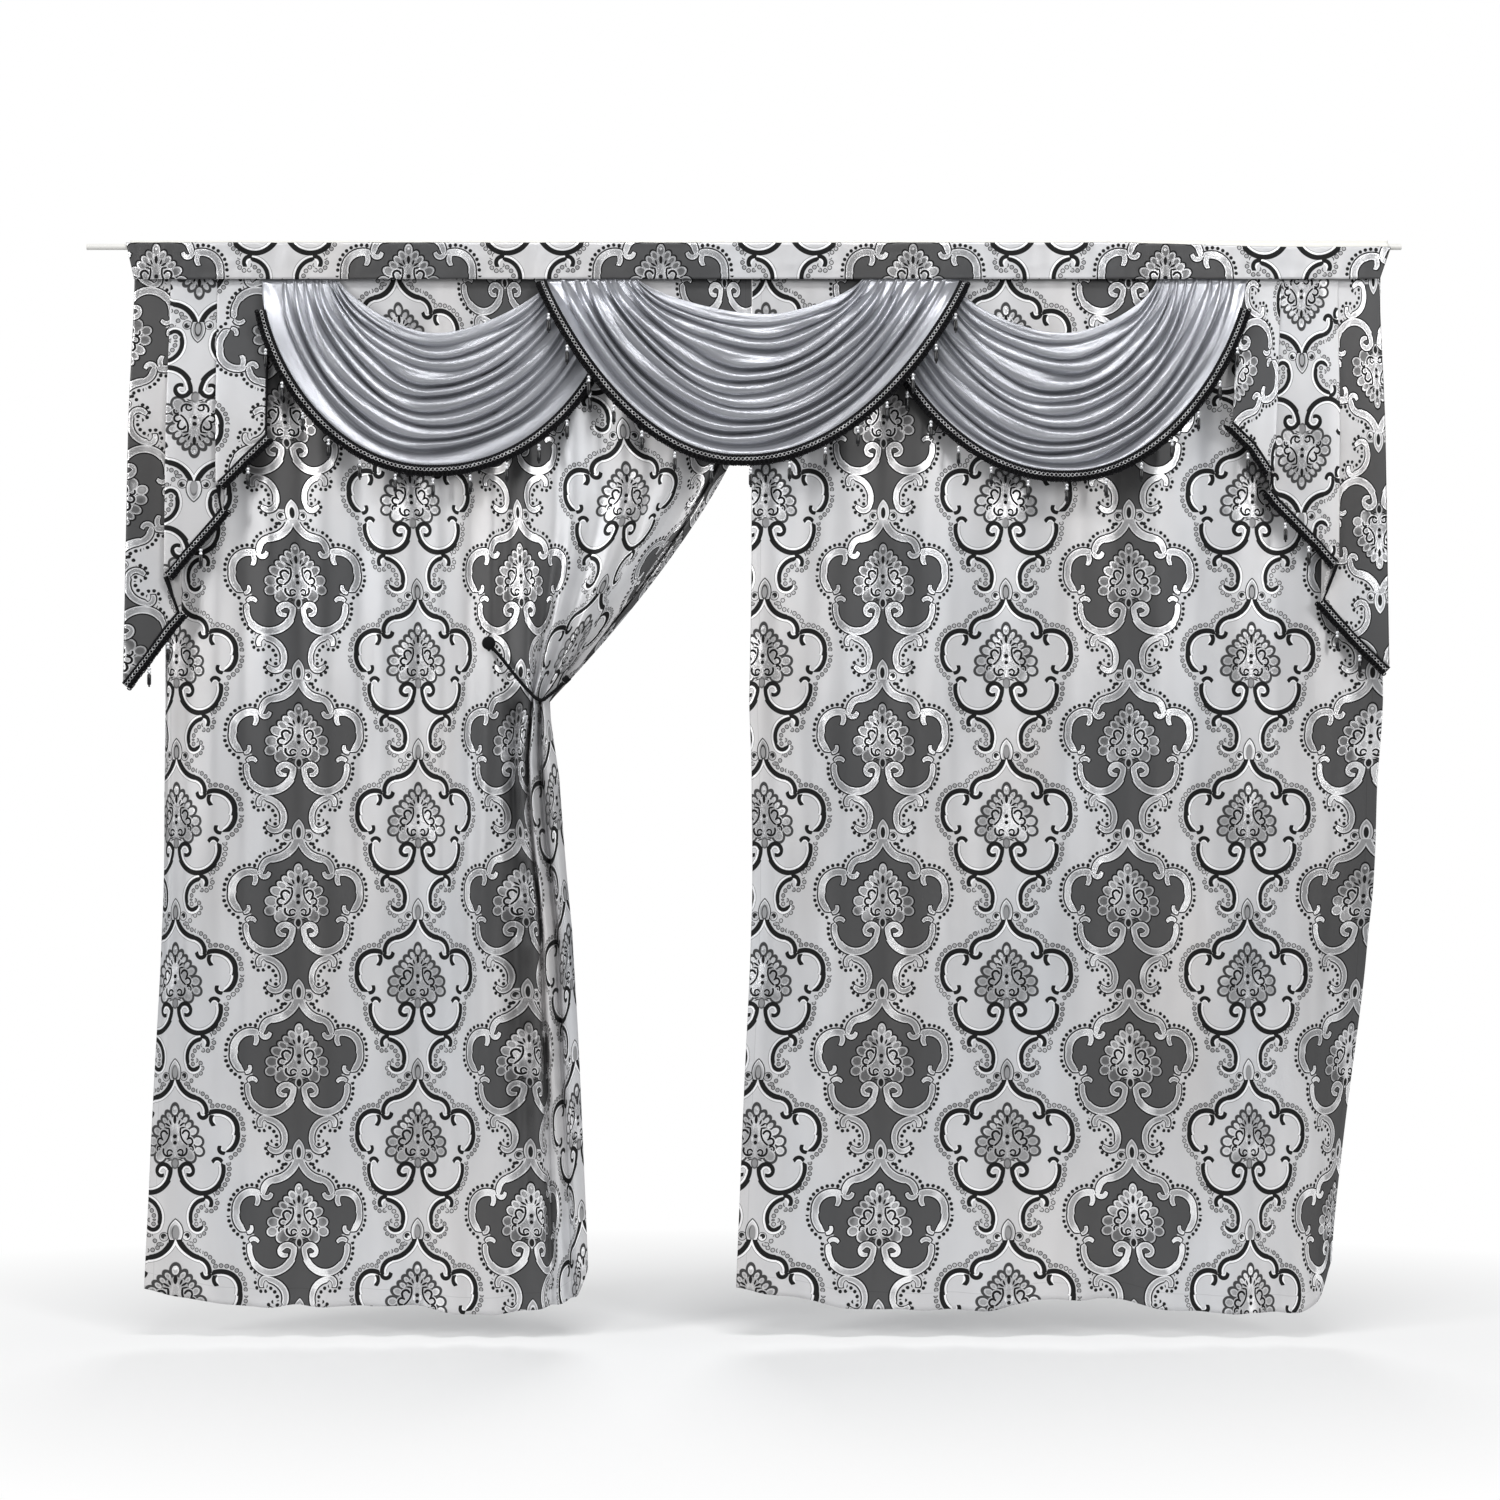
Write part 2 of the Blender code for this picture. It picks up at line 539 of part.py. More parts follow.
def add_drop(mesh, root):
    """One bead drop, four-sided, hanging from its root."""
    rings = []
    for ring in BEAD_RINGS:
        turn = [math.pi / 4 + k * math.pi / 2 for k in range(4)]
        rings.append([
            mesh.verts.new(
                root + Vector((ring.radius * math.cos(a), ring.radius * math.sin(a), -ring.down))
            )
            for a in turn
        ])
    for upper, lower in zip(rings, rings[1:]):
        for k in range(4):
            mesh.faces.new((upper[k], lower[k], lower[(k + 1) % 4], upper[(k + 1) % 4]))
    mesh.faces.new(rings[0])
    mesh.faces.new(reversed(rings[-1]))


def make_braid(name, hem, outward, clear, width):
    """A strip just off a cloth's hem, with its bead drops fused into the lower edge."""
    inner = [p + n * clear for p, n in zip(hem, outward)]
    outer = [p + n * width for p, n in zip(hem, outward)]
    piece = sheet("braid_" + name, [inner, outer], TRIM, BRAID_THICKNESS)
    drops = bmesh.new()
    wait = DROP_FIRST
    for k in range(len(outer) - 1):
        step = (hem[k + 1] - hem[k]).length
        while wait < step:
            root = outer[k].lerp(outer[k + 1], wait / step)
            add_drop(drops, root - outward[k] * DROP_ROOT)
            wait += DROP_PITCH
        wait -= step
    bmesh.ops.recalc_face_normals(drops, faces=drops.faces)
    extra = bpy.data.meshes.new(name)
    drops.to_mesh(extra)
    drops.free()
    joined_with(piece, extra)


def trimmed(line, left_z, right_z):
    """A swag's hem line with both ends cut off where they rise above the given heights."""
    for top in (left_z, right_z):
        while line[1].z > top:
            line = line[1:]
        if line[0].z > top:
            share = (line[0].z - top) / (line[0].z - line[1].z)
            line = [line[0].lerp(line[1], share)] + line[1:]
        line = line[::-1]
    return line


def make_swag_braid(swag):
    hem = swag_row(swag, 1.0, lambda a: 0.0)
    hem = trimmed(hem, swag.braid_left, swag.braid_right)
    outward = []
    for k in range(len(hem)):
        along = hem[min(k + 1, len(hem) - 1)] - hem[max(k - 1, 0)]
        outward.append(Vector((along.z, 0, -along.x)).normalized())
    make_braid("swag_" + swag.name, hem, outward, SWAG_BRAID_CLEAR, BRAID_WIDTH)


def make_button():
    """The covered button, a low dome turned about its axis."""
    radius, thick = BUTTON_RADIUS, BUTTON_THICKNESS
    profile = [(0, 0), (radius * 0.92, 0), (radius, thick * 0.25), (radius, thick * 0.6),
               (radius * 0.75, thick * 0.92), (0, thick)]
    mesh = bpy.data.meshes.new("tie_button")
    points = [(r, 0, h) for r, h in reversed(profile)]
    mesh.from_pydata(points, [(k, k + 1) for k in range(len(points) - 1)], [])
    piece = add_object("tie_button", mesh, TRIM)
    turn = piece.modifiers.new("turn", "SCREW")
    turn.axis = "Z"
    turn.steps = turn.render_steps = 20
    turn.use_merge_vertices = True
    turn.merge_threshold = 0.00005
    turn.use_smooth_shade = True
    piece.rotation_euler = (math.pi / 2, 0, 0)
    piece.location = BUTTON_AT


def make_tie():
    curve = bpy.data.curves.new("tie_cord", "CURVE")
    curve.dimensions = "3D"
    curve.bevel_depth = TIE_RADIUS
    curve.bevel_resolution = 2
    curve.use_fill_caps = True
    route = [Vector(point) for point in TIE_ROUTE]
    steps = 24
    path = [spline(route, k / steps * (len(route) - 1)) for k in range(steps + 1)]
    line = curve.splines.new("POLY")
    line.points.add(len(path) - 1)
    for point, place in zip(line.points, path):
        point.co = (*place, 1)
    cord = bpy.data.objects.new("tie_cord", curve)
    curve.materials.append(material(TRIM))
    COLLECTION.objects.link(cord)
    mesh = bpy.data.meshes.new("tie_knot")
    ball = bmesh.new()
    bmesh.ops.create_uvsphere(ball, u_segments=10, v_segments=6, radius=1)
    bmesh.ops.scale(ball, vec=KNOT_SIZE, verts=ball.verts)
    ball.to_mesh(mesh)
    ball.free()
    add_object("tie_knot", mesh, TRIM).location = KNOT_AT


for old in list(bpy.data.objects):
    bpy.data.objects.remove(old)
COLLECTION = bpy.data.collections.new("swagged_curtains")
bpy.context.scene.collection.children.link(COLLECTION)

make_rod()
make_casing()
make_band()
make_curtains()
for one in SWAGS:
    make_swag(one)
    make_swag_braid(one)
for side in ("left", "right"):
    make_tail(side)
make_button()
make_tie()
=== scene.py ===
"""The look of the swagged curtains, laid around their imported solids.

Metres, +Z up, the room side faces -Y. Each cloth is drawn again from its fold lines, finer than
its solid, and carries a map of the flat cloth in metres, from which its weave is worked out.
"""

import math
from collections import namedtuple

import bmesh
import bpy
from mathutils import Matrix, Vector, noise


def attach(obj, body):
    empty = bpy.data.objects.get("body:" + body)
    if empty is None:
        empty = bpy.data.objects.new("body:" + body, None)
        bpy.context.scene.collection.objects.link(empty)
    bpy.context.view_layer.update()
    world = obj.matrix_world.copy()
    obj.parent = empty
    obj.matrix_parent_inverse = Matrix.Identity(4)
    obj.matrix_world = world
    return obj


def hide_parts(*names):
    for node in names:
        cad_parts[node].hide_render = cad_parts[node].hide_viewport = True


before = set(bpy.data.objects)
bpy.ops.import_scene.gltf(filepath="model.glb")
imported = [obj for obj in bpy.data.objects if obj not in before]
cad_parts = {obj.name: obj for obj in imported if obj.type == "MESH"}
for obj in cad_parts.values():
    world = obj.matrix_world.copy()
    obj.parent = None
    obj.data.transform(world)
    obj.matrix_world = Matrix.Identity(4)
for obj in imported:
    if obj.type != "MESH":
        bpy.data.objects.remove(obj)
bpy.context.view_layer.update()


def named(kind, table, per_unit=1):
    """The rows of a table with named columns; per_unit is 1000 for mm and for thousandths."""
    return [kind(*(value / per_unit for value in row)) for row in table]


# The camera looks straight at the curtains and takes in the photograph's width
CAMERA_AT = Vector((-0.0164, -6.0, -1.1786))
VIEW_WIDTH = 3.5145
SENSOR = 36.0
FLOOR_Z = -2.560

# Cloth and the stack of layers that the heading holds
SHEET = 0.0012
GAP = 0.0003
PLY = SHEET + GAP

ROD_RADIUS = 0.007

CASING_CLEAR = 0.0004
CASING_RADIUS = ROD_RADIUS + CASING_CLEAR + SHEET / 2
CASING_LEFT = -1.468
CASING_RIGHT = 1.478
CASING_FRONT_DROP = 0.030
CASING_TOP = 0.0150

BAND_DEPTH = -(CASING_RADIUS + PLY)
BAND_FOOT = -0.077
BAND_EDGE = namedtuple("BAND_EDGE", "left top right bottom_left bottom_right")(
    left=-1.476, top=0.0085, right=1.483, bottom_left=-1.457, bottom_right=1.457
)
BAND_SLIP_START = 0.80
BAND_SLIP_END = 1.27
BAND_SLIP = 0.010

SEAM = -0.064
PANEL_DEPTH = CASING_RADIUS - PLY
TAIL_DEPTH = PANEL_DEPTH - 3.4 * PLY
SIDE_SWAG_DEPTH = -0.0036
MIDDLE_SWAG_DEPTH = BAND_DEPTH + PLY
SEAM_RELIEF = 0.0026

# Heights at which the curtain folds are measured, and where they come loose from the heading
BELOW_TIE = 0.18
KNEE = -1.600
DROP_STARTS = 0.110
DROP_SETTLES = 0.260

Fold = namedtuple(
    "Fold",
    "flat head_x tie_x below_x knee_x hem_x upper_y tie_y knee_y hem_y tie_z hem_z",
)

# One row for each fold line of the left curtain, from its outer edge to the tied-back edge, in mm
LEFT_FOLDS = named(Fold, [
    (0, -1385, -1387, -1388, -1396, -1436, 7, 10, 8, 0, -1000, -2441),
    (50, -1370, -1371, -1372, -1375, -1387, 0, -9, -10, -6, -1000, -2452),
    (105, -1336, -1335, -1337, -1342, -1331, 7, 8, 6, 6, -1000, -2464),
    (185, -1270, -1273, -1275, -1277, -1263, -3, -12, -13, -10, -1000, -2474),
    (260, -1204, -1207, -1208, -1209, -1197, 8, 10, 12, 8, -1000, -2480),
    (330, -1141, -1141, -1142, -1143, -1136, -10, -10, -8, -12, -1000, -2481),
    (402, -1075, -1075, -1075, -1075, -1073, 9, 12, 10, 6, -1000, -2481),
    (475, -1010, -1008, -1006, -1005, -1005, -8, -12, -14, -10, -1000, -2481),
    (550, -940, -938, -937, -937, -937, 10, 12, 10, 10, -1000, -2481),
    (625, -869, -867, -866, -865, -872, -11, -14, -13, -9, -1000, -2481),
    (698, -801, -801, -801, -801, -804, 8, 10, 8, 12, -1000, -2482),
    (775, -736, -738, -737, -736, -731, -10, -12, -14, -12, -980, -2494),
    (850, -672, -682, -682, -682, -668, 9, 9, 10, 10, -950, -2504),
    (915, -621, -627, -629, -630, -607, -9, -16, -14, -10, -930, -2499),
    (970, -578, -587, -588, -585, -562, 8, -8, -6, 6, -980, -2493),
    (1030, -534, -533, -550, -518, -506, -10, -24, -22, -12, -1035, -2486),
    (1100, -478, -527, -537, -507, -482, 9, 16, 16, 4, -1045, -2480),
    (1165, -424, -520, -526, -494, -457, -10, -24, -20, -12, -1052, -2472),
    (1220, -372, -508, -507, -472, -437, 9, 6, 6, 4, -1058, -2462),
    (1285, -309, -497, -484, -452, -416, -10, -22, -18, -14, -1062, -2448),
    (1340, -257, -487, -464, -434, -396, 8, 4, 4, 4, -1064, -2390),
    (1420, -190, -503, -488, -461, -428, -9, 31, 30, 26, -1066, -2396),
    (1500, -120, -487, -470, -440, -404, 8, 26, 26, 24, -1066, -2398),
    (1580, -60, -504, -490, -465, -434, -6, 48, 46, 44, -1066, -2404),
    (1650, -12, -490, -474, -446, -412, 0, 44, 44, 42, -1066, -2410),
], 1000)
SWEEP_FROM = 0.970
SWEEP_SHORT = 0.35
SWEEP_LONG = 0.70
SWEEP_BEND = 1.4

# The right curtain hangs free, so its rows keep a middle height in place of the tie
RIGHT_FOLDS = named(Fold, [
    (0, -2, -18, -12, -14, -49, 3, 6, 6, 4, -1060, -2439),
    (60, 46, 34, 38, 38, 10, -7, -12, -12, -10, -1060, -2449),
    (140, 120, 110, 112, 112, 92, 7, 10, 12, 10, -1060, -2463),
    (235, 208, 202, 203, 203, 188, -8, -10, -8, -12, -1060, -2480),
    (325, 292, 290, 290, 290, 280, 8, 12, 14, 10, -1060, -2489),
    (410, 372, 372, 372, 372, 366, -9, -12, -12, -10, -1060, -2490),
    (500, 457, 458, 458, 458, 457, 8, 10, 10, 12, -1060, -2490),
    (590, 543, 545, 545, 545, 548, -8, -12, -14, -12, -1060, -2490),
    (690, 640, 641, 641, 641, 648, 8, 8, 8, 6, -1060, -2470),
    (790, 735, 737, 736, 736, 745, -8, -10, -10, -10, -1060, -2466),
    (895, 836, 838, 836, 836, 848, 8, 12, 12, 12, -1060, -2467),
    (1000, 936, 937, 934, 934, 948, -9, -12, -14, -10, -1060, -2487),
    (1100, 1032, 1031, 1027, 1026, 1040, 8, 10, 8, 10, -1060, -2496),
    (1200, 1128, 1126, 1120, 1118, 1128, -8, -12, -12, -12, -1060, -2496),
    (1300, 1222, 1219, 1212, 1208, 1208, 8, 12, 14, 10, -1060, -2496),
    (1395, 1312, 1307, 1298, 1290, 1274, -2, -10, -10, -10, -1060, -2494),
    (1480, 1392, 1386, 1375, 1364, 1322, 6, 8, 10, 8, -1060, -2458),
    (1555, 1462, 1466, 1452, 1430, 1347, -3, -4, -4, -2, -1060, -2372),
], 1000)

# One row for each swag: where its neckline and its hem start, lie lowest and end, from the seam
Swag = namedtuple(
    "Swag",
    "name neck_left neck_x neck_right neck_drop neck_round hem_left hem_x hem_right hem_drop"
    " hem_round left_spread right_spread depth rise left_hold right_hold braid_left braid_right",
)
SWAGS = [
    Swag("left", -0.989, -0.747, -0.471, 0.1450, 0.75, -1.160, -0.752, -0.319, 0.4560, 0.58,
         2.0, 1.6, SIDE_SWAG_DEPTH, 0.075, 0.80, 0.28, -0.152, -0.250),
    Swag("middle", -0.284, 0.019, 0.251, 0.1020, 0.60, -0.501, -0.035, 0.483, 0.4320, 0.88,
         1.8, 1.8, MIDDLE_SWAG_DEPTH, 0.050, 1.00, 1.00, -0.080, -0.080),
    Swag("right", 0.452, 0.715, 0.940, 0.1450, 0.60, 0.258, 0.715, 1.148, 0.4690, 0.70,
         1.6, 2.0, SIDE_SWAG_DEPTH, 0.075, 0.28, 0.80, -0.250, -0.148),
]
SWAG_BULGE = 0.055
HOLD_REACH = 1.5
FREE_BELOW = BAND_FOOT - 0.004
NECK_POWER = 1.3
HEM_POWER = 2.0

# One row for each fold of a swag: its crest and groove, in thousandths of the way from the
# neckline to the hem, and how many mm deep the groove is at the left, in the middle and at the right
Pleat = namedtuple("Pleat", "crest groove left middle right")
PLEATS = {
    "left": named(Pleat, [
        (75, 115, 8, 6, 5),
        (160, 195, 10, 7, 6),
        (255, 290, 11, 5, 9),
        (360, 395, 12, 9, 10),
        (455, 490, 13, 11, 6),
        (560, 600, 14, 12, 9),
        (665, 700, 13, 12, 10),
        (755, 790, 13, 10, 8),
        (845, 880, 14, 11, 9),
    ], 1000),
    "middle": named(Pleat, [
        (65, 100, 7, 5, 6),
        (135, 170, 9, 7, 6),
        (230, 265, 10, 10, 8),
        (350, 385, 11, 10, 7),
        (450, 485, 13, 12, 12),
        (540, 575, 12, 9, 11),
        (630, 665, 11, 7, 10),
        (715, 750, 14, 12, 13),
        (800, 835, 12, 10, 11),
        (890, 925, 11, 9, 10),
    ], 1000),
    "right": named(Pleat, [
        (60, 95, 6, 6, 8),
        (160, 195, 8, 8, 7),
        (265, 300, 9, 10, 10),
        (390, 425, 10, 12, 11),
        (480, 515, 8, 8, 10),
        (560, 595, 9, 10, 11),
        (650, 685, 10, 11, 13),
        (745, 780, 11, 12, 14),
        (830, 865, 9, 10, 13),
        (910, 945, 7, 8, 11),
    ], 1000),
}

# One row for each fold line of a tail, from its inner edge out: its place on the flat cloth, its
# ends, the ply it lies on and the bend: 1 folds back at its outer side, -1 at its inner, 0 runs on
TailFold = namedtuple("TailFold", "flat head_x hem_x hem_z ply bend")
TAIL_FOLDS = {
    "left": named(TailFold, [
        (0.04, -1.146, -1.143, -0.445, 0, 0),
        (0.094, -1.2, -1.196, -0.496, 0, 0),
        (0.155, -1.261, -1.258, -0.555, 0, 1),
        (0.205, -1.241, -1.244, -0.612, 1, -1),
        (0.252, -1.263, -1.266, -0.636, 2, 0),
        (0.317, -1.328, -1.336, -0.718, 0.05, 0),
        (0.36, -1.371, -1.38, -0.768, 0, 1),
        (0.42, -1.34, -1.343, -0.853, 1, -1),
        (0.475, -1.372, -1.381, -0.893, 2, 0),
        (0.523, -1.42, -1.428, -0.958, 1.6, 0),
        (0.565, -1.459, -1.478, -1.024, 1.4, 0),
    ]),
    "right": named(TailFold, [
        (0.002, 1.13, 1.107, -0.416, 0, 0),
        (0.075, 1.18, 1.16, -0.468, 0, 0),
        (0.15, 1.227, 1.203, -0.528, 0, 1),
        (0.195, 1.206, 1.195, -0.57, 1, -1),
        (0.24, 1.229, 1.218, -0.596, 2, 0),
        (0.345, 1.318, 1.311, -0.694, 0.05, 0),
        (0.4, 1.359, 1.354, -0.74, 0, 1),
        (0.44, 1.33, 1.316, -0.825, 1, -1),
        (0.475, 1.36, 1.352, -0.862, 2, 0),
        (0.545, 1.412, 1.41, -0.925, 1.6, 0),
        (0.615, 1.459, 1.474, -0.988, 1.4, 0),
    ]),
}
TAIL_FRONT = -0.040
TAIL_PITCH = 0.0065
TAIL_SETTLES = 0.38

# The tie that pulls the left curtain's edge to a button
BUTTON_RADIUS = 0.0160
BUTTON_THICKNESS = 0.0120
BUTTON_AT = Vector((-0.6268, -0.0170, -0.9290))
TIE_ROUTE = [
    (-0.6158, -0.0230, -0.9412),
    (-0.5920, -0.0270, -0.9690),
    (-0.5700, -0.0290, -0.9970),
    (-0.5480, -0.0302, -1.0240),
    (-0.5290, -0.0305, -1.0440),
    (-0.5150, -0.0305, -1.0580),
    (-0.5000, -0.0300, -1.0620),
    (-0.4870, -0.0270, -1.0530),
    (-0.4740, -0.0190, -1.0420),
    (-0.4534, -0.0089, -1.0218),
]
KNOT_AT = Vector((-0.4466, -0.0056, -1.0135))

# The look's own sizes
CLOTH = 0.0008
CREASE = 0.0052
GATHER = 0.0016
GATHER_END = 0.16
SIDE_HEM = 0.022
BOTTOM_HEM = 0.040
HEM_SOFT = 0.0035
HEM_DIP = 0.0009
HEM_WAVE = 0.004
BAND_PUCKER = 0.0042
FRILL = 0.0016
CASING_TAPER = 0.016
BACK_PUCKER = 0.0020
FRILL_GROWS = 0.006
BEHIND_FROM = 0.004
BEHIND_GROWS = 0.003
BAND_UNEVEN = 0.0006
SWAG_FINE = 112
NECK_SOFT = 0.14
HEM_SOFTENED = 0.02
PLEAT_GAIN = 2.6
PLEAT_WANDER = 0.045
PLEAT_FADE = 0.5
PLEAT_KEEN = 2.6
PIN_KEEN = 1.1
PIN_FROM = 0.3
PIN_REACH = 0.4
WANDER_GROWS = 0.1
FADE_FROM = 0.15
FADE_REACH = 0.5
SWAG_CREASE = 0.0024
SWAG_HALF_CUT = 0.50
SWAG_FULL_DROP = 0.62
TAIL_CREASE = 0.0014
TAIL_ROWS = 92
TAIL_FINE = 6

# The damask's repeat, in metres, and where it starts on each cloth
DAMASK_WIDTH = 0.593
DAMASK_PITCH = 0.375
DAMASK_TOP = 0.592
LEFT_COLUMN = 0.402
RIGHT_COLUMN = 0.330
BAND_COLUMN = -0.225
BAND_REPEAT = 0.590
BAND_TIP = 0.044
TAIL_TIP = {"left": 0.3465, "right": 0.4205}
LEFT_STRETCH = (0.90, 0.98)
LEFT_LEAN = 0.055
LEAN_ENDS = 0.75
RIGHT_STRETCH = (1.0, 0.985)
MEETING_AT = -0.0112
Groove = namedtuple("Groove", "flat half depth top foot fade")
LEFT_GROOVES = [
    Groove(0.992, 0.021, 0.036, -1.04, -2.46, 0.62),
    Groove(1.222, 0.016, 0.026, -1.06, -2.30, 0.80),
    Groove(1.588, 0.009, 0.026, -0.40, -1.02, 0.10),
]
GROOVE_STARTS = 0.05
TAIL_BEND = 0.003
CALM_REACH = 0.05
CALM_FROM = 0.4
HEM_WAVE_REACH = 0.06

# Braid, loops and beads
BRAID_STEP = 0.0030
BRAID_LAP = 0.0030
BRAID_BAND = 0.0155
BRAID_SKIRT = 0.0210
LOOP_PITCH = 0.0050
LOOP_WIDE = 0.0030
LOOP_DROP = 0.0090
LOOP_THREAD = 0.0017
LOOP_ROOT = 0.0015
LOOP_UNEVEN = 0.16
LOOP_LEAN = 0.35
LOOP_LIFT = 0.0008
LOOP_CROSS = 0.0016
CHAIN_PITCH = 0.0190
CHAIN_AT = 0.0078
CHAIN_HALF = 0.0038
CHAIN_THREAD = 0.0013
CHAIN_UNEVEN = 0.70
CHAIN_STEPS = 12
CHAIN_LIFT = 0.0042
CHAIN_ROUND = 0.0011
DROP_PITCH = 0.086
DROP_SWAY = 0.002
DROP_ROOT = 0.7 * LOOP_DROP
BEAD_STRING = 0.020
STRING_RADIUS = 0.0007
Bead = namedtuple("Bead", "down size slot")
BEADS = [
    Bead(0.003, (0.0028, 0.0028, 0.0028), 0),
    Bead(0.0095, (0.0044, 0.0044, 0.0044), 1),
    Bead(0.0175, (0.0044, 0.0044, 0.0044), 1),
]
BUGLE_FROM = 0.0215
BUGLE_LONG = 0.0265
BUGLE_RADIUS = 0.0046
END_BEAD = (0.0024, 0.0024, 0.0024)
END_BEAD_DOWN = 0.002
BRAID_SAW = 0.0004
BRAID_SECTION = [
    (-BRAID_LAP, -0.0004),
    (0.001, -0.0026),
    (0.5 * BRAID_BAND, -0.0032),
    (BRAID_BAND - 0.001, -0.0026),
    (BRAID_BAND, -0.0010),
    (BRAID_SKIRT, -0.0006),
    (BRAID_SKIRT, 0.0006),
    (0.5 * BRAID_BAND, 0.0012),
    (-BRAID_LAP, 0.0008),
]
RETURN_HALF = 0.0065
RETURN_BEHIND = 0.001
EDGING_STEP = 0.004
EDGING_HALF = 0.0030
EDGING_TOP = -0.155

# The tie's button cover, strands and turns
BUTTON_BACK = 0.0006
BUTTON_SIDES = 48
BUTTON_RIB = 0.012
CORD_STEP = 0.0016
CORD_STRANDS = 3
CORD_STRAND = 0.0023
CORD_LAY = 0.0022
CORD_PITCH = 0.020
KNOT_TURNS = 4
KNOT_STEPS = 26
KNOT_HALF = 0.0072
KNOT_ASIDE = 0.0062
KNOT_UP = 0.0050
KNOT_YARN = 0.0024
KNOT_CORE = (0.0065, 0.0048, 0.0060)

# Floor, finish of the cloth and lights
AMBIENT = 0.30
FLOOR_RADIUS = 1.6
FLOOR_STRETCH = 2.2
FLOOR_NEAR = 0.3
FLOOR_FADE = 1.1
WEAVE_GRAIN = (2600, 900, 1)
WEAVE_HEIGHT = 0.0004
GROUND_METAL = 0.30
SEAM_HALF = 0.0009
LIGHTS = [
    ("key_left", (-9.8, -6.3, 2.8), (2.8, 5.2), 525),
    ("key_right", (7.8, -8.8, 2.4), (2.4, 4.8), 385),
    ("top", (0.2, -2.6, 3.0), (3.4, 0.8), 115),
    ("rear", (0.0, 4.5, 1.4), (3.0, 2.0), 90),
]
LIGHT_AIM = Vector((0, 0, -1.2))


def ease(t):
    t = min(max(t, 0.0), 1.0)
    return t * t * (3 - 2 * t)


def mix(a, b, t):
    return a + (b - a) * t


def steps(count):
    """Even steps from 0 to 1."""
    return [k / count for k in range(count + 1)]


def spline(values, position):
    """A smooth curve through evenly numbered values, read at a place between them."""
    last = len(values) - 1
    low = min(int(position), last - 1)
    t = position - low
    before = values[max(low - 1, 0)]
    start, end = values[low], values[low + 1]
    after = values[min(low + 2, last)]
    rise, fall = (end - before) / 2, (after - start) / 2
    return (
        start * (1 + 2 * t) * (1 - t) ** 2
        + rise * t * (1 - t) ** 2
        + end * t * t * (3 - 2 * t)
        + fall * t * t * (t - 1)
    )


def stations(heights, values, z):
    """A smooth curve through values that are given at falling heights."""
    for low in range(len(heights) - 1):
        if z >= heights[low + 1] or low == len(heights) - 2:
            span = heights[low + 1] - heights[low]
            return spline(values, low + min(max((z - heights[low]) / span, 0.0), 1.0))


def sweep(fold, t):
    """How far a fold line has swung from the tie, at 0, to where it hangs straight."""
    share = (fold.flat - SWEEP_FROM) / (LEFT_FOLDS[-1].flat - SWEEP_FROM)
    reach = mix(SWEEP_SHORT, SWEEP_LONG, min(max(share, 0.0), 1.0))
    return 1 - (1 - min(t / reach, 1.0)) ** SWEEP_BEND


def fold_point(fold, above, share):
    """A point of a curtain's fold line: above or below the tie, and how far down that part."""
    if above:
        z = mix(SEAM, fold.tie_z, share)
        swung = sweep(fold, 1 - share)
        x = mix(fold.tie_x, fold.head_x, swung)
        loose = mix(fold.tie_y, fold.upper_y, swung)
        grown = ease((-z - DROP_STARTS) / DROP_SETTLES)
        return Vector((x, mix(PANEL_DEPTH, loose, grown), z))
    z = mix(fold.tie_z, fold.hem_z, share)
    heights = [fold.tie_z, fold.tie_z - BELOW_TIE, KNEE, fold.hem_z]
    x = stations(heights, [fold.tie_x, fold.below_x, fold.knee_x, fold.hem_x], z)
    y = stations(heights, [fold.tie_y, fold.tie_y, fold.knee_y, fold.hem_y], z)
    return Vector((x, y, z))


def swag_point(swag, across, down):
    """A point of a swag: across from -1 to 1, down from its neckline to its hem."""
    right = across > 0
    neck_end = swag.neck_right if right else swag.neck_left
    hem_end = swag.hem_right if right else swag.hem_left
    spread = down ** (swag.right_spread if right else swag.left_spread)
    end = mix(neck_end, hem_end, spread)
    middle = mix(swag.neck_x, swag.hem_x, down)
    wide = abs(math.sin(across * math.pi / 2))
    power = mix(NECK_POWER, HEM_POWER, down)
    fullness = mix(swag.neck_round, swag.hem_round, down)
    soft = mix(NECK_SOFT, HEM_SOFTENED, down)
    round_off = (math.hypot(wide, soft) - soft) / (math.hypot(1, soft) - soft)
    drop = mix(swag.neck_drop, swag.hem_drop, down) * (1 - round_off**power) ** fullness
    z = SEAM - drop
    x = mix(middle, end, wide)
    below = max(0.0, FREE_BELOW - z)
    hold = mix(1.0, swag.right_hold if right else swag.left_hold, ease(abs(across) * HOLD_REACH))
    bulge = SWAG_BULGE * hold * (1 - math.exp(-below / swag.rise))
    return Vector((x, swag.depth - bulge, z))


def tail_section(side, share):
    """A tail's back-and-forth section, at a share of the way from the seam to its slanting hem."""
    outward = -1 if side == "left" else 1
    section = []
    for fold in TAIL_FOLDS[side]:
        z = mix(SEAM, fold.hem_z, share)
        x = mix(fold.head_x, fold.hem_x, share)
        loose = ease((BAND_FOOT - z) / TAIL_SETTLES)
        front = mix(TAIL_DEPTH, TAIL_FRONT, loose)
        pitch = mix(PLY, TAIL_PITCH, loose)
        inset = -fold.bend * outward * pitch / 2
        halves = [(inset, 0.0), (0.0, 0.5), (inset, 1.0)] if fold.bend else [(0.0, 0.0)]
        for aside, more in halves:
            section.append(Vector((x + aside, front + (fold.ply + more) * pitch, z)))
    return section


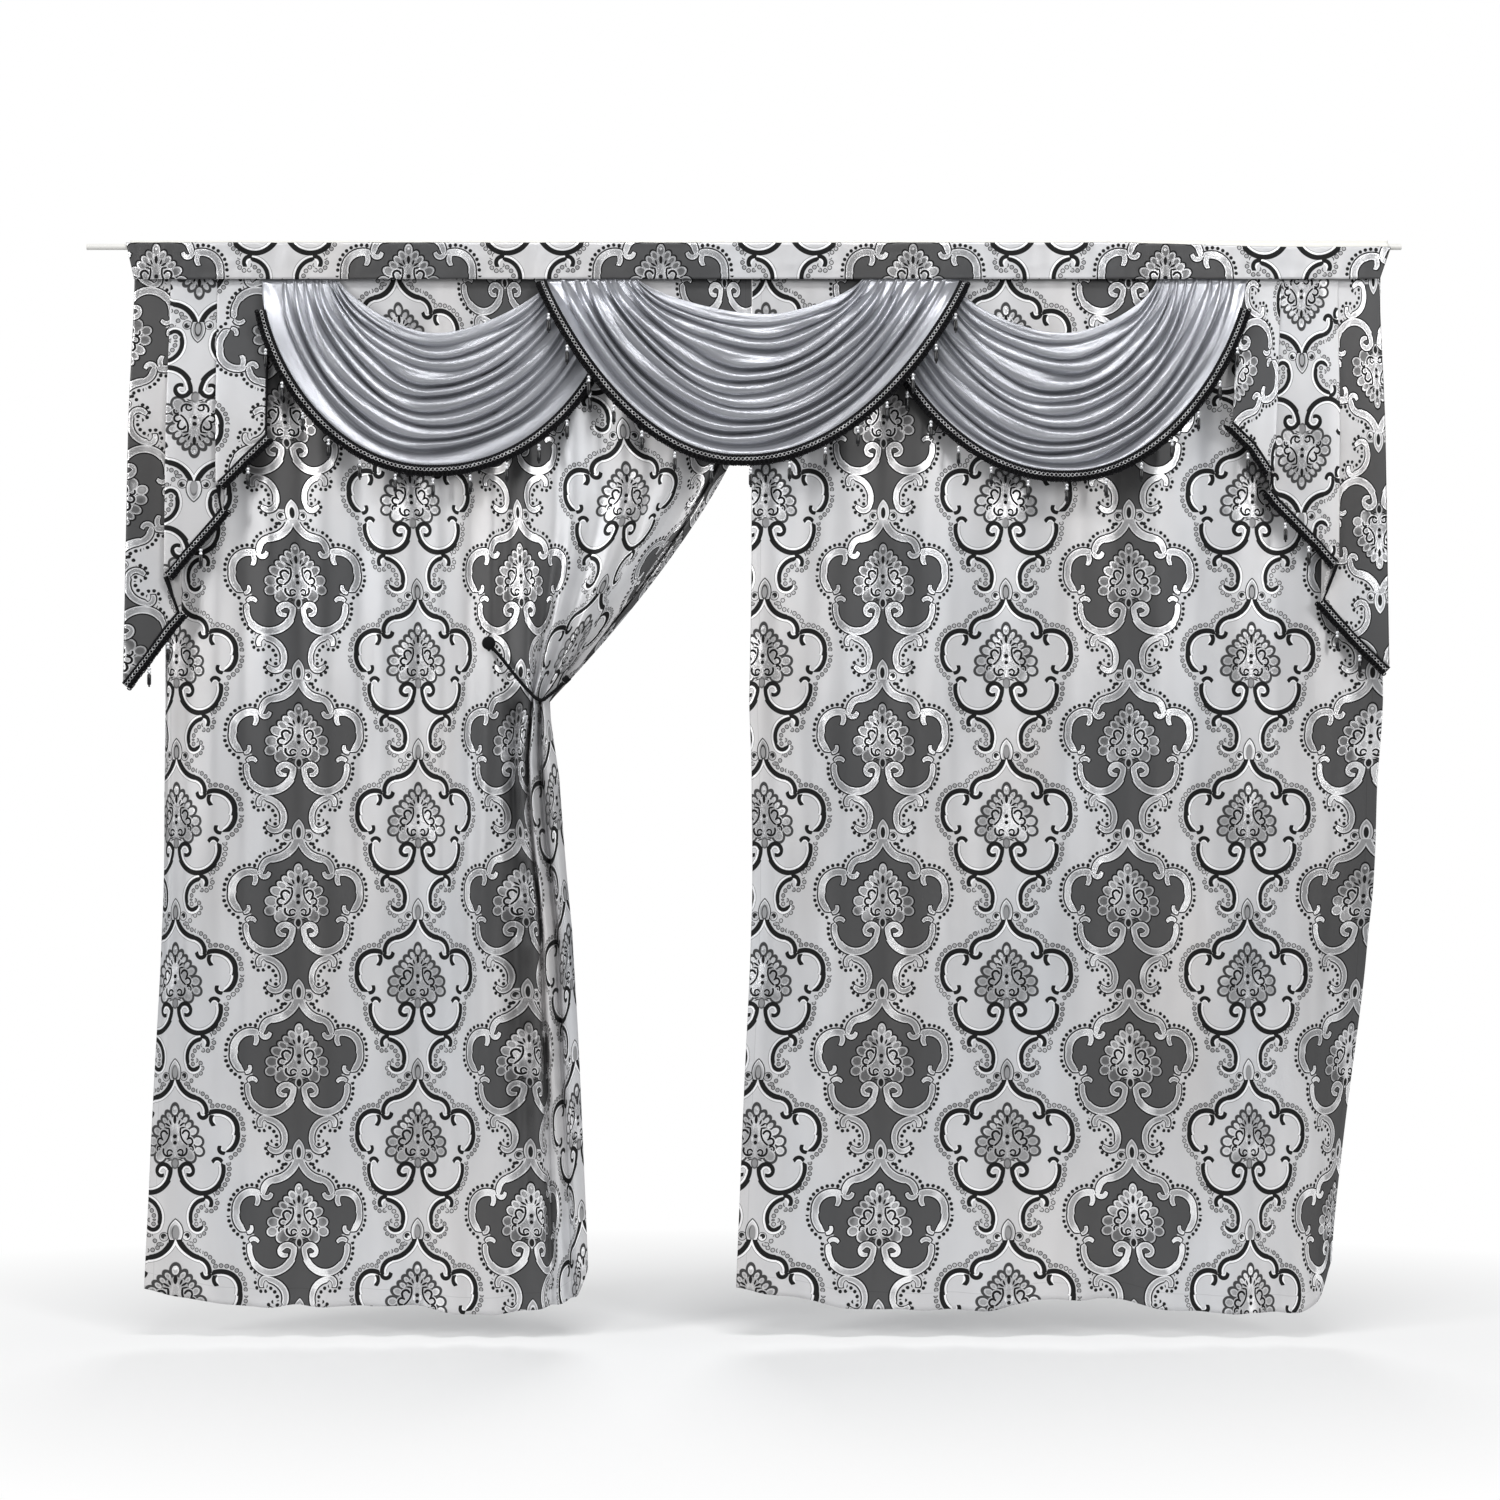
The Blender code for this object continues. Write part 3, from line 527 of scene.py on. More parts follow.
def trimmed(line, left_z, right_z):
    """A swag's hem line with both ends cut off where they rise above the given heights."""
    for top in (left_z, right_z):
        while line[1].z > top:
            line = line[1:]
        if line[0].z > top:
            share = (line[0].z - top) / (line[0].z - line[1].z)
            line = [line[0].lerp(line[1], share)] + line[1:]
        line = line[::-1]
    return line


def by_math(operation):
    """A method that puts a formula, and what it is given, through one math node."""
    return lambda self, *others: self.node("ShaderNodeMath", operation, self, *others)


def by_vector_math(operation, output=0):
    return lambda self, *others: self.node(
        "ShaderNodeVectorMath", operation, self, *others, output=output
    )


class Formula:
    """A value that shader nodes work out, so that a pattern can be written as ordinary sums."""

    __add__ = by_math("ADD")
    __sub__ = by_math("SUBTRACT")
    __mul__ = by_math("MULTIPLY")
    times_plus = by_math("MULTIPLY_ADD")
    least = by_math("MINIMUM")
    most = by_math("MAXIMUM")
    size = by_math("ABSOLUTE")
    less_than = by_math("LESS_THAN")
    wave = by_math("COSINE")
    angle_from = by_math("ARCTAN2")
    folded = by_math("PINGPONG")
    repeated = by_math("FLOORED_MODULO")
    root = by_math("SQRT")
    minus = by_vector_math("SUBTRACT")
    stretched = by_vector_math("MULTIPLY")
    along = by_vector_math("DOT_PRODUCT", 1)
    length = by_vector_math("LENGTH", 1)

    def __init__(self, tree, socket):
        self.tree = tree
        self.socket = socket

    def node(self, kind, operation, *inputs, output=0):
        made = self.tree.nodes.new(kind)
        if operation:
            made.operation = operation
        for socket, value in zip(made.inputs, inputs):
            if isinstance(value, Formula):
                self.tree.links.new(value.socket, socket)
            elif value is not None:
                socket.default_value = value
        return Formula(self.tree, made.outputs[output])

    def above(self, edge, soft=0.8):
        """1 where the value is more than the edge, 0 where it is less, with a soft step."""
        made = self.times_plus(1 / soft, 0.5 - edge / soft)
        made.socket.node.use_clamp = True
        return made

    def below(self, edge, soft=0.8):
        made = self.times_plus(-1 / soft, 0.5 + edge / soft)
        made.socket.node.use_clamp = True
        return made

    def between(self, low, high, soft):
        return self.above(low, soft) * self.below(high, soft)

    def pick(self, off, on):
        """One value where this one is 0, the other where it is 1."""
        return self.node("ShaderNodeMix", None, self, None, off, on)

    def away(self, x, y, stretch_x=1.0, stretch_y=1.0):
        """The way from a point, with the plane first stretched about it."""
        moved = self.minus((x, y, 0))
        if (stretch_x, stretch_y) != (1.0, 1.0):
            moved = moved.stretched((stretch_x, stretch_y, 1))
        return moved

    def toward(self, degrees):
        turn = math.radians(degrees)
        return self.along((math.cos(turn), math.sin(turn), 0))

    def into(self, node, name):
        self.tree.links.new(self.socket, node.inputs[name])

    def parts(self):
        x = self.node("ShaderNodeSeparateXYZ", None, self)
        return x, Formula(self.tree, x.socket.node.outputs[1])

    def point(self, other):
        return self.node("ShaderNodeCombineXYZ", None, self, other)


# The damask's motif in millimetres, x out from its middle line and y down from its upper tip.
# A stroke follows an arc about (x, y), toward an angle in degrees (0 out, 90 down) and spread to
# each side of it; side is 1 where the stroke's outer edge lies outside the circle, else -1.
Stroke = namedtuple("Stroke", "x y radius toward spread width side")
STROKES = named(Stroke, [
    (62, -32, 59.8, 134, 50, 8.2, -1),
    (52.5, 56.5, 28.7, -39, 56, 6.8, 1),
    (74, 60.5, 9, 95, 105, 5.6, 1),
    (108, 100, 41.5, -46.5, 72, 7.6, 1),
    (107, 113, 43.5, 20, 42, 7.2, 1),
    (110, 75, 14.5, 180, 66, 5.6, 1),
    (121.5, 144, 8.4, 148, 84, 4.8, 1),
    (65.5, 191.5, 53, 87, 102, 6, 1),
    (65.5, 191.5, 53.4, 95, 66, 8, 1),
    (106.5, 177.5, 9.6, -92, 84, 4.8, 1),
    (28, 196.5, 14.5, -90, 100, 6.2, 1),
    (33.5, 195.5, 9.8, 50, 84, 5, 1),
    (78, 306, 46.3, 212, 58, 6.2, -1),
    (76.5, 270, 12, -38, 88, 5.6, 1),
    (51, 320, 16.5, 100, 88, 5.6, -1),
])
MARKS = named(Stroke, [
    (27.5, 110.5, 8.6, -60, 128, 2.9, 1),
    (37, 127.5, 7.8, -20, 150, 2.7, 1),
    (40, 144.5, 6, -50, 108, 2.4, 1),
    (17, 149, 11.6, 57, 96, 2.8, 1),
    (12.5, 152.5, 6, -60, 125, 2.2, 1),
    (48, 105, 35, 158, 42, 2.4, 1),
])
Leaf = namedtuple("Leaf", "x y degrees half_long half_wide")
LEAVES = named(Leaf, [
    (11, 82, -70, 6.4, 2.3),
    (17.5, 87.5, -32, 7.6, 2.6),
    (18.5, 95.5, -8, 7.4, 2.2),
    (15, 166, 8, 7, 1.3),
    (13, 171, 22, 6, 1.2),
])
DotRun = namedtuple("DotRun", "x y radius toward spread")
DOT_RUNS = named(DotRun, [
    (62, -32, 40.5, 120, 29),
    (52.5, 56.5, 47, -42, 32),
    (108, 100, 58.2, -50, 54),
    (107, 113, 60.5, 32, 32),
    (65.5, 191.5, 67.8, 25, 38),
    (85, 270, 19.4, 46, 76),
    (84, 311, 35.5, 205.5, 50),
    (57, 330, 17.8, 14, 98),
    (26.5, -27, 22, 45, 34),
])
DOT_PITCH = 12.7
DOT_RADIUS = 4.3
PEARL_RADIUS = 5.5
PETALS = named(Leaf, [
    (0, 54, 90, 13.5, 8.6),
    (14.5, 66.5, -58, 11, 7.2),
    (25.5, 77.5, -48, 10.5, 7),
    (34.5, 90, -38, 11.5, 7.4),
    (46, 104, -26, 14, 10),
    (58.5, 127, -6, 13.5, 11.4),
    (61, 149, 14, 12.5, 10.6),
    (36, 160, 50, 17, 14.5),
])
FAR = 1000.0
GROUND_TONE = 0.67
FILL_TONE = 0.092
INK = 0.015
CURL_INK = 0.03
# Painted glints on the silver thread: the size of their patches, where they start and how much they
# brighten
PAINTED_GLINT_SCALE = (13, 8, 1)
PAINTED_GLINT_FROM = 0.56
PAINTED_GLINT_GAIN = 0.60
# Painted shade of soft creases: the size of its streaks and how much it darkens and lightens the tone
PAINTED_SHADE_SCALE = (9, 2.6, 1)
PAINTED_SHADE_GAIN = 0.34
# Painted reflection: the size of the warm and cool tints that stand in for coloured light from the
# surroundings, and their strength
REFLECTION_TINT_SCALE = (3.1, 1.4, 1)
REFLECTION_TINT_GAIN = 0.10


def arc(place, one):
    """The way from an arc's middle, how far off the arc that is, and how far it lies past its ends."""
    way = place.away(one.x, one.y)
    length = way.length()
    ends = length.times_plus(-math.cos(math.radians(one.spread)), way.toward(one.toward))
    return way, length - one.radius, ends


def stroke_lines(place):
    """Distance to the motif's strokes, below 0 inside, and how far out across the stroke."""
    nearest, across = None, None
    for one in STROKES:
        _, off, ends = arc(place, one)
        edge = off.size() - ends.least(one.width)
        outward = off * one.side
        if nearest is None:
            nearest, across = edge, outward
        else:
            across = edge.less_than(nearest).pick(across, outward)
            nearest = nearest.least(edge)
    return nearest, across


def least_of(found):
    """The least of some values."""
    nearest = found[0]
    for one in found[1:]:
        nearest = nearest.least(one)
    return nearest


def mark_lines(place):
    """Distance to the palmette's fine strokes, below 0 inside."""
    found = []
    for one in MARKS:
        _, off, ends = arc(place, one)
        found.append(off.size() - ends.least(one.width))
    return least_of(found)


def dot_lines(place):
    """Distance from the middle of the nearest dot outside the strokes."""
    found = []
    for one in DOT_RUNS:
        way, off, ends = arc(place, one)
        x, y = way.parts()
        along = (y.angle_from(x) * one.radius).folded(DOT_PITCH / 2)
        square = (along * along) + (off * off)
        found.append(square + ends.below(0, 0.1) * FAR)
    return least_of(found).root()


def disc(place, x, y, radius):
    return place.away(x, y).length() - radius


def oval(place, x, y, half_x, half_y):
    """About the distance from an oval, below 0 inside."""
    reach = min(half_x, half_y)
    return (place.away(x, y, 1 / half_x, 1 / half_y).length() - 1.0) * reach


def leaf(place, one):
    """About the distance from a slender oval that lies along its own direction."""
    way = place.away(one.x, one.y)
    along = way.toward(one.degrees) * (one.half_wide / one.half_long)
    aside = way.toward(one.degrees + 90)
    return ((along * along) + (aside * aside)).root() - one.half_wide


def filled_ground(place, x, y):
    """The dark motif's ground: below 0 inside its outline."""
    body = (x - 62).most(y - 195).most(place.away(62, -32).length() * -1 + 68)
    body = body.least((x - 76).most(y - 150).most(y * -1 + 74))
    for circle in ((52.5, 56.5, 28.7), (108, 100, 41.5), (107, 113, 43.5), (65.5, 191.5, 53)):
        body = body.least(disc(place, *circle))
    stem = (place.away(78, 306).length() * -1 + 48).most(x - 60)
    return body.least(stem.most(y - 334).most(y * -1 + 195))


class Paint:
    """The tone and the share of silver thread, laid on in layers where a mask is 1."""

    def __init__(self, tone):
        self.tone = tone
        self.silver = 0.0

    def lay(self, mask, tone, silver=0.0):
        self.tone = mask.pick(self.tone, tone)
        self.silver = mask.pick(self.silver, silver)


def motif_place(u, v):
    """Where a place of the cloth lies in its motif, and 1 where that motif is a dark one."""
    half, pitch = DAMASK_WIDTH * 500, DAMASK_PITCH * 1000
    across = (u * 1000).folded(half)
    down = v * 1000
    swing = ((down - 115) * (2 * math.pi / pitch)).wave()
    dark = across.less_than(swing.times_plus(30, half / 2))
    x = dark.pick(across * -1 + half, across)
    lead = x.times_plus(0.5, -1.5).most(12).least(22) + x.below(14, 0.1) * 6
    fall = dark.times_plus(-pitch / 2, pitch / 2) + down
    y = (fall + lead).repeated(pitch) - lead
    return x, y, dark


def damask(weave):
    """The tone and the silver of the damask at a place of the flat cloth, given in metres."""
    x, y, dark = motif_place(*weave.parts())
    place = x.point(y)
    light = dark * -1 + 1

    paint = Paint(GROUND_TONE)
    dots = dot_lines(place)
    paint.lay(dots.below(DOT_RADIUS) * dark, INK)
    paint.lay(dots.below(PEARL_RADIUS) * light, 0.05)
    paint.lay(dots.below(PEARL_RADIUS - 1.9) * light, 0.38, 0.4)
    paint.lay(filled_ground(place, x, y).below(0) * dark, FILL_TONE)

    edges = [leaf(place, one) for one in PETALS]
    petals = oval(place, 0, 118, 44, 50).least(least_of(edges))
    rims = least_of([edge.size() for edge in edges])
    paint.lay(petals.below(3.8, 1.2), dark.times_plus(-0.05, 0.065))
    paint.lay(petals.below(0), dark.times_plus(-0.22, 0.40), 0.6)
    rim = petals.below(0) * rims.below(4.4)
    paint.lay(rim, dark.times_plus(-0.49, 0.68), dark * -0.4 + 0.8)
    ridges = petals.below(0.8) * rims.below(1.9)
    paint.lay(ridges, dark.times_plus(0.55, 0.065), dark * 0.8)
    heart = oval(place, 0, 132, 40, 38).least(oval(place, 0, 98, 26, 28))
    paint.lay(heart.below(0, 1.6), dark.times_plus(-0.08, 0.50), 0.8)
    vase = oval(place, 0, 112, 7, 30).size()
    paint.lay(vase.below(1.5), 0.62, 1.0)
    paint.lay((x - 2.8).most(y - 168).most(y * -1 + 138).below(0), 0.7, 1.0)
    marks = mark_lines(place)
    paint.lay(marks.below(2.2), dark.times_plus(0.30, 0.62), 0.8)
    inked = [marks] + [leaf(place, one) for one in LEAVES]
    inked += [oval(place, 0, 76, 4, 10), disc(place, 0, 115, 5), disc(place, 0, 130, 4.6)]
    paint.lay(least_of(inked).below(0), INK)
    glints = oval(place, 8, 121, 2.6, 6.5).least(disc(place, 0, 50, 3.2))
    paint.lay(glints.below(0), 0.9, 1.0)
    drop = oval(place, 0, 178, 7.5, 11.5)
    paint.lay(drop.below(1.4), dark.times_plus(0.45, 0.15), 0.6)
    paint.lay(drop.below(-1.4), dark.times_plus(-0.28, 0.30))

    edge, outward = stroke_lines(place)
    paint.lay(edge.below(3.8) * dark, INK)
    paint.lay(edge.below(0.4) * dark, 0.95, 0.8)
    paint.lay(edge.below(-2.2) * dark, 0.53, 1.0)
    near = edge.below(3.5) * light
    paint.lay(near * outward.between(-9.2, -7.9, 0.7), 0.30)
    paint.lay(near * outward.between(-7.4, -2.0, 0.7), 1.0, 0.45)
    paint.lay(edge.below(1.3) * light * outward.above(-2.9), INK)

    curl = disc(place, 24, 350, 10.5)
    paint.lay(curl.below(0.5), CURL_INK)
    paint.lay(curl.below(-1.2), 0.70, 0.7)
    paint.lay(disc(place, 25, 348.4, 6.4).below(0), CURL_INK)
    paint.lay(disc(place, 20.5, 352.6, 3.4).below(0), 0.55, 0.7)
    bud = (x - 14.5).most(disc(place, -24, 340, 38.5)).most(y - 358)
    paint.lay(bud.below(2.6), CURL_INK)
    paint.lay(bud.below(0), 0.80, 0.7)
    paint.lay(bud.below(-2.6), 0.45, 0.7)
    core = oval(place, 0, 341, 6.5, 15)
    paint.lay(core.below(1.6), dark.times_plus(0.75, 0.05), 0.5)
    paint.lay(core.below(-0.8), dark.times_plus(-0.33, 0.35))
    return paint


def set_inputs(node, **values):
    """Sets a node's inputs, named with _ in place of spaces."""
    for name, value in values.items():
        node.inputs[name.replace("_", " ")].default_value = value


def plain(name, colour, roughness, metallic=0.0, specular=0.5):
    """A material and its shader, ready for its own nodes."""
    made = bpy.data.materials.new(name)
    made.use_nodes = True
    shader = made.node_tree.nodes["Principled BSDF"]
    set_inputs(shader, Base_Color=(*colour, 1), Roughness=roughness, Metallic=metallic,
               Specular_IOR_Level=specular)
    return made, shader


def noise_over(place, scale, detail):
    """Smooth noise, about 0.5 on average; scale is how many of its steps lie in a metre."""
    cloud = place.tree.nodes.new("ShaderNodeTexNoise")
    set_inputs(cloud, Scale=1.0, Detail=detail)
    place.stretched(scale).into(cloud, "Vector")
    return Formula(place.tree, cloud.outputs[0])


def roughen(shader, place, scale, height, detail=1.0):
    """Fine unevenness of the surface, which also shades the threads."""
    grain = noise_over(place, scale, detail)
    bump = place.tree.nodes.new("ShaderNodeBump")
    set_inputs(bump, Distance=height, Strength=0.6)
    grain.into(bump, "Height")
    place.tree.links.new(bump.outputs[0], shader.inputs["Normal"])
    return grain


def map_of(tree, name):
    """A map of the flat cloth."""
    node = tree.nodes.new("ShaderNodeUVMap")
    node.uv_map = name
    return Formula(tree, node.outputs[0])


def place_on(tree):
    """A place on a piece that has no map."""
    return Formula(tree, tree.nodes.new("ShaderNodeTexCoord").outputs["Object"])


def jacquard(name, back):
    """The damask cloth; on its back the silver is dull and the tones lie nearer together."""
    made, shader = plain(name, (0.6, 0.6, 0.62), 0.45)
    tree = made.node_tree
    weave = map_of(tree, "weave")
    paint = damask(weave)
    slub = roughen(shader, weave, WEAVE_GRAIN, WEAVE_HEIGHT)
    silver = paint.silver
    # Painted glints: the tone is lifted in random patches where silver thread lies, standing in for the
    # thread catching the lamps
    glint = noise_over(weave, PAINTED_GLINT_SCALE, 2.0).above(PAINTED_GLINT_FROM, 0.12)
    tone = paint.tone + glint * silver * PAINTED_GLINT_GAIN
    # Painted shade: soft streaks that darken and lighten the tone, standing in for the shading of soft
    # creases
    painted_shade = noise_over(weave, PAINTED_SHADE_SCALE, 2.0)
    tone = tone * painted_shade.times_plus(PAINTED_SHADE_GAIN, 1 - PAINTED_SHADE_GAIN / 2)
    # Painted reflection: slow warm and cool tints of the colour, standing in for light reflected from
    # the surroundings
    painted_reflection_tint = noise_over(weave, REFLECTION_TINT_SCALE, 2.0) - 0.5
    if back:
        tone, silver = tone.times_plus(-0.35, 0.62), silver * 0.2
    side, hem = map_of(tree, "edges").parts()
    seam = (side - SIDE_HEM).size().least((hem - BOTTOM_HEM).size())
    stitch = seam.below(SEAM_HALF, SEAM_HALF)
    tone = (tone * slub.times_plus(0.16, 0.92)) * stitch.times_plus(-0.15, 1.0)
    colour = tree.nodes.new("ShaderNodeCombineColor")
    tints = (painted_reflection_tint.times_plus(REFLECTION_TINT_GAIN, 0.99), 0.985, painted_reflection_tint.times_plus(-REFLECTION_TINT_GAIN, 1.0))
    for channel, tint in zip(("Red", "Green", "Blue"), tints):
        (tone * tint).into(colour, channel)
    tree.links.new(colour.outputs[0], shader.inputs["Base Color"])
    (silver * 0.42 + GROUND_METAL).into(shader, "Metallic")
    silver.times_plus(-0.14, 0.38).into(shader, "Roughness")
    tone.times_plus(0.6, 0.12).into(shader, "Specular IOR Level")
    set_inputs(shader, Sheen_Weight=0.04, Sheen_Roughness=0.4)
    return made


def cloth(name, colour, roughness, metallic, grain, height):
    """A cloth of one colour with its threads."""
    made, shader = plain(name, colour, roughness, metallic)
    roughen(shader, map_of(made.node_tree, "weave"), grain, height)
    set_inputs(shader, Sheen_Weight=0.1, Sheen_Roughness=0.35, Sheen_Tint=(0.85, 0.88, 0.95, 1))
    return made


def yarn(name, colour, roughness, metallic, specular, grain, height):
    """Yarn and thread, roughened where it lies."""
    made, shader = plain(name, colour, roughness, metallic, specular)
    roughen(shader, place_on(made.node_tree), (grain, grain, grain), height, 2.0)
    return made


def fading_floor():
    """A pale floor that fades into the white around it, well outside the curtains' shadow."""
    made, shader = plain("floor_paint", (0.96, 0.96, 0.96), 0.95, specular=0.0)
    tree = made.node_tree
    share = place_on(tree).length().above(FLOOR_NEAR + FLOOR_FADE / 2, FLOOR_FADE)
    white = tree.nodes.new("ShaderNodeEmission")
    set_inputs(white, Color=(1, 1, 1, 1))
    blend(tree, share.socket, shader, white, tree.nodes["Material Output"])
    return made


def blend(tree, share, first, second, output):
    """Shows one shader where the share is 0, the other where it is 1."""
    both = tree.nodes.new("ShaderNodeMixShader")
    for given, taken in zip((share, first.outputs[0], second.outputs[0]), both.inputs):
        tree.links.new(given, taken)
    tree.links.new(both.outputs[0], output.inputs["Surface"])


DAMASK = jacquard("damask_front", False)
DAMASK_BACK = jacquard("damask_back", True)
SATIN = cloth("grey_satin", (0.42, 0.428, 0.460), 0.275, 0.60, (160, 900, 1), 0.0006)
LINING = cloth("cream_lining", (0.86, 0.85, 0.80), 0.8, 0.0, (1500, 1500, 1), 0.0005)
BLACK_YARN = yarn("black_yarn", (0.006, 0.006, 0.007), 0.85, 0.0, 0.15, 1400, 0.0008)
SILVER_YARN = yarn("silver_yarn", (0.62, 0.62, 0.63), 0.32, 0.9, 0.5, 900, 0.0010)
BLACK_BEAD = plain("black_bead", (0.010, 0.010, 0.011), 0.10)[0]
CLEAR_BEAD = plain("clear_bead", (0.82, 0.83, 0.85), 0.10, 0.6)[0]
ROD_FINISH = plain("cream_paint", (0.82, 0.81, 0.78), 0.4)[0]


def placed(name, mesh, materials, node=None, thickness=0.0):
    """Puts a piece on the frame, in the place of the solid that it stands for."""
    for one in materials:
        mesh.materials.append(one)
    piece = bpy.data.objects.new(name, mesh)
    bpy.context.scene.collection.objects.link(piece)
    if thickness:
        thicken = piece.modifiers.new("thickness", "SOLIDIFY")
        thicken.thickness = thickness
        thicken.offset = 0
        if len(materials) > 1:
            thicken.material_offset = 1
            thicken.material_offset_rim = 0
    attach(piece, "root")
    if node:
        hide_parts(node)
    return piece


def laid(node, rows, uvs, edges=None, materials=(DAMASK, DAMASK_BACK)):
    """A cloth: a grid of points with a map of the flat cloth in metres, thickened to both sides."""
    across = len(rows[0])
    mesh = bpy.data.meshes.new(node + "_cloth")
    faces = [
        (r * across + c, r * across + c + 1, (r + 1) * across + c + 1, (r + 1) * across + c)
        for r in range(len(rows) - 1)
        for c in range(across - 1)
    ]
    mesh.from_pydata([point for row in rows for point in row], [], faces)
    for layer, places in (("weave", uvs), ("edges", edges)):
        if places:
            flat = [uv for row in places for uv in row]
            made = mesh.uv_layers.new(name=layer)
            for loop in mesh.loops:
                made.data[loop.index].uv = flat[loop.vertex_index]
    mesh.shade_smooth()
    if sum(face.normal.y * face.area for face in mesh.polygons) > 0:
        mesh.flip_normals()
    return placed(node + "_cloth", mesh, materials, node, CLOTH)


def grid(downs, acrosses, at):
    """The points of a cloth and its map, both from a function of the place on it."""
    made = [[at(down, across) for across in acrosses] for down in downs]
    return [[pair[0] for pair in row] for row in made], [[pair[1] for pair in row] for row in made]


def soft_noise(x, y, layer):
    """Smooth unevenness between about -1 and 1, its own for each layer."""
    return noise.noise(Vector((x, y, layer * 7.3)))


def pucker_noise(x, y, layer):
    """The same between about 0 and 1."""
    return 0.5 + 0.5 * soft_noise(x, y, layer)


def curtain_grid(folds, per_fold, above_rows, below_rows):
    """The points of a curtain, and its map: metres across the cloth and down from the seam."""
    places = [k / per_fold for k in range((len(folds) - 1) * per_fold + 1)]
    flats = [spline([fold.flat for fold in folds], place) for place in places]
    rows = []
    heights = [(True, share) for share in steps(above_rows)[:-1]]
    heights += [(False, share) for share in steps(below_rows)]
    for above, share in heights:
        line = [fold_point(fold, above, share) for fold in folds]
        rows.append([spline(line, place) for place in places])
    downs = [[0.0] * len(places)]
    for before, row in zip(rows, rows[1:]):
        downs.append([d + (b - a).length for d, a, b in zip(downs[-1], before, row)])
    return flats, rows, downs


def dress_curtain(name, folds, per_fold, above_rows, below_rows, shift, stretch, grooves, lean):
    """A curtain with its soft creases, the pinched strip of each side hem and its bottom hem."""
    flats, rows, downs = curtain_grid(folds, per_fold, above_rows, below_rows)
    width = flats[-1]
    uvs, edges = [], []
    for r, row in enumerate(rows):
        uv, edge = [], []
        for point, flat, down in zip(row, flats, downs[r]):
            slant = lean * max(0.0, 1 - down / LEAN_ENDS)
            uv.append(((flat - shift) * stretch[flat > shift] + slant, down - DAMASK_TOP))
            side, hem = min(flat, width - flat), downs[-1][len(edge)] - down
            edge.append((side, hem))
            free = ease(down / GATHER_END)
            calm = ease((point - BUTTON_AT).length / CALM_REACH - CALM_FROM)
            crease = soft_noise(flat * 9, down * 1.6, 1) + 0.5 * soft_noise(flat * 26, down * 3.2, 2)
            gather = GATHER * pucker_noise(flat * 42, down * 5, 3)
            point.y += mix(-gather, CREASE * crease * calm, free)
            point.x += 0.5 * CREASE * free * soft_noise(flat * 12, down * 2.5, 4)
            for off in (side - SIDE_HEM, hem - BOTTOM_HEM):
                point.y += free * HEM_DIP * math.exp(-((off / HEM_SOFT) ** 2))
            for groove in grooves:
                held = ease((groove.top - point.z) / GROOVE_STARTS)
                held *= ease((point.z - groove.foot) / groove.fade)
                off = (flat - groove.flat) / groove.half
                point.y += groove.depth * held * math.exp(-(off**2))
            point.z += HEM_WAVE * soft_noise(flat * 14, 0, 5) * ease(1 - hem / HEM_WAVE_REACH)
        uvs.append(uv)
        edges.append(edge)
    return laid(name, rows, uvs, edges)


def dress_band():
    """The jacquard strip along the top, puckered over the heading behind it."""

    def at(down, along):
        top_x = mix(BAND_EDGE.left, BAND_EDGE.right, along)
        slip = BAND_SLIP * ease((top_x - BAND_SLIP_START) / (BAND_SLIP_END - BAND_SLIP_START))
        x = mix(top_x, mix(BAND_EDGE.bottom_left, BAND_EDGE.bottom_right, along), down)
        z = mix(BAND_EDGE.top - slip, BAND_FOOT, down)
        pucker = pucker_noise(x * 46 + down, down * 1.3, 6)
        drag = pucker_noise(x * 12 + down * 2, down * 4, 7)
        y = BAND_DEPTH - BAND_PUCKER * pucker * (0.35 + 0.65 * drag)
        uv = ((x - BAND_COLUMN) * DAMASK_WIDTH / BAND_REPEAT, BAND_TIP - z - slip)
        return Vector((x, y, z + BAND_UNEVEN * soft_noise(x * 30, 0, 8))), uv

    rows, uvs = grid(steps(16), steps(740), at)
    return laid("header_band", rows, uvs)


def dress_casing():
    """The lining sleeve around the rod, pinched to a low frill above it and puckered behind."""
    pinch = PLY / 2
    crown = CASING_TOP - SHEET / 2
    shoulder = math.asin(pinch / CASING_RADIUS)
    front = [(-CASING_RADIUS, mix(-CASING_FRONT_DROP, 0, t)) for t in steps(5)[:-1]]
    front += [
        (-CASING_RADIUS * math.cos(turn), CASING_RADIUS * math.sin(turn))
        for turn in (t * (math.pi / 2 - shoulder) for t in steps(6))
    ]
    front += [(-pinch, mix(CASING_RADIUS, crown - pinch, t)) for t in steps(3)[1:]]
    back = [(-y, z) for y, z in reversed(front[5:])]
    back += [(CASING_RADIUS, mix(0, BAND_FOOT, t)) for t in steps(9)[1:]]
    profile = front + [(0, crown)] + back
    lengths = [0.0]
    for (y, z), (next_y, next_z) in zip(profile, profile[1:]):
        lengths.append(lengths[-1] + math.hypot(next_y - y, next_z - z))

    def at(down, along):
        (y, z), length = down
        drawn_in = CASING_TAPER * ease(z / BAND_FOOT)
        x = mix(CASING_LEFT + drawn_in, CASING_RIGHT - drawn_in, along)
        frill = FRILL * soft_noise(x * 75, 0, 10) * ease((z - CASING_RADIUS) / FRILL_GROWS)
        behind = BACK_PUCKER * pucker_noise(x * 60, z * 12, 9) * ease((y - BEHIND_FROM) / BEHIND_GROWS)
        return Vector((x, y + frill + behind, z + 0.4 * frill)), (x, length)

    rows, uvs = grid(list(zip(profile, lengths)), steps(580), at)
    return laid("header_casing", rows, uvs, materials=[LINING])


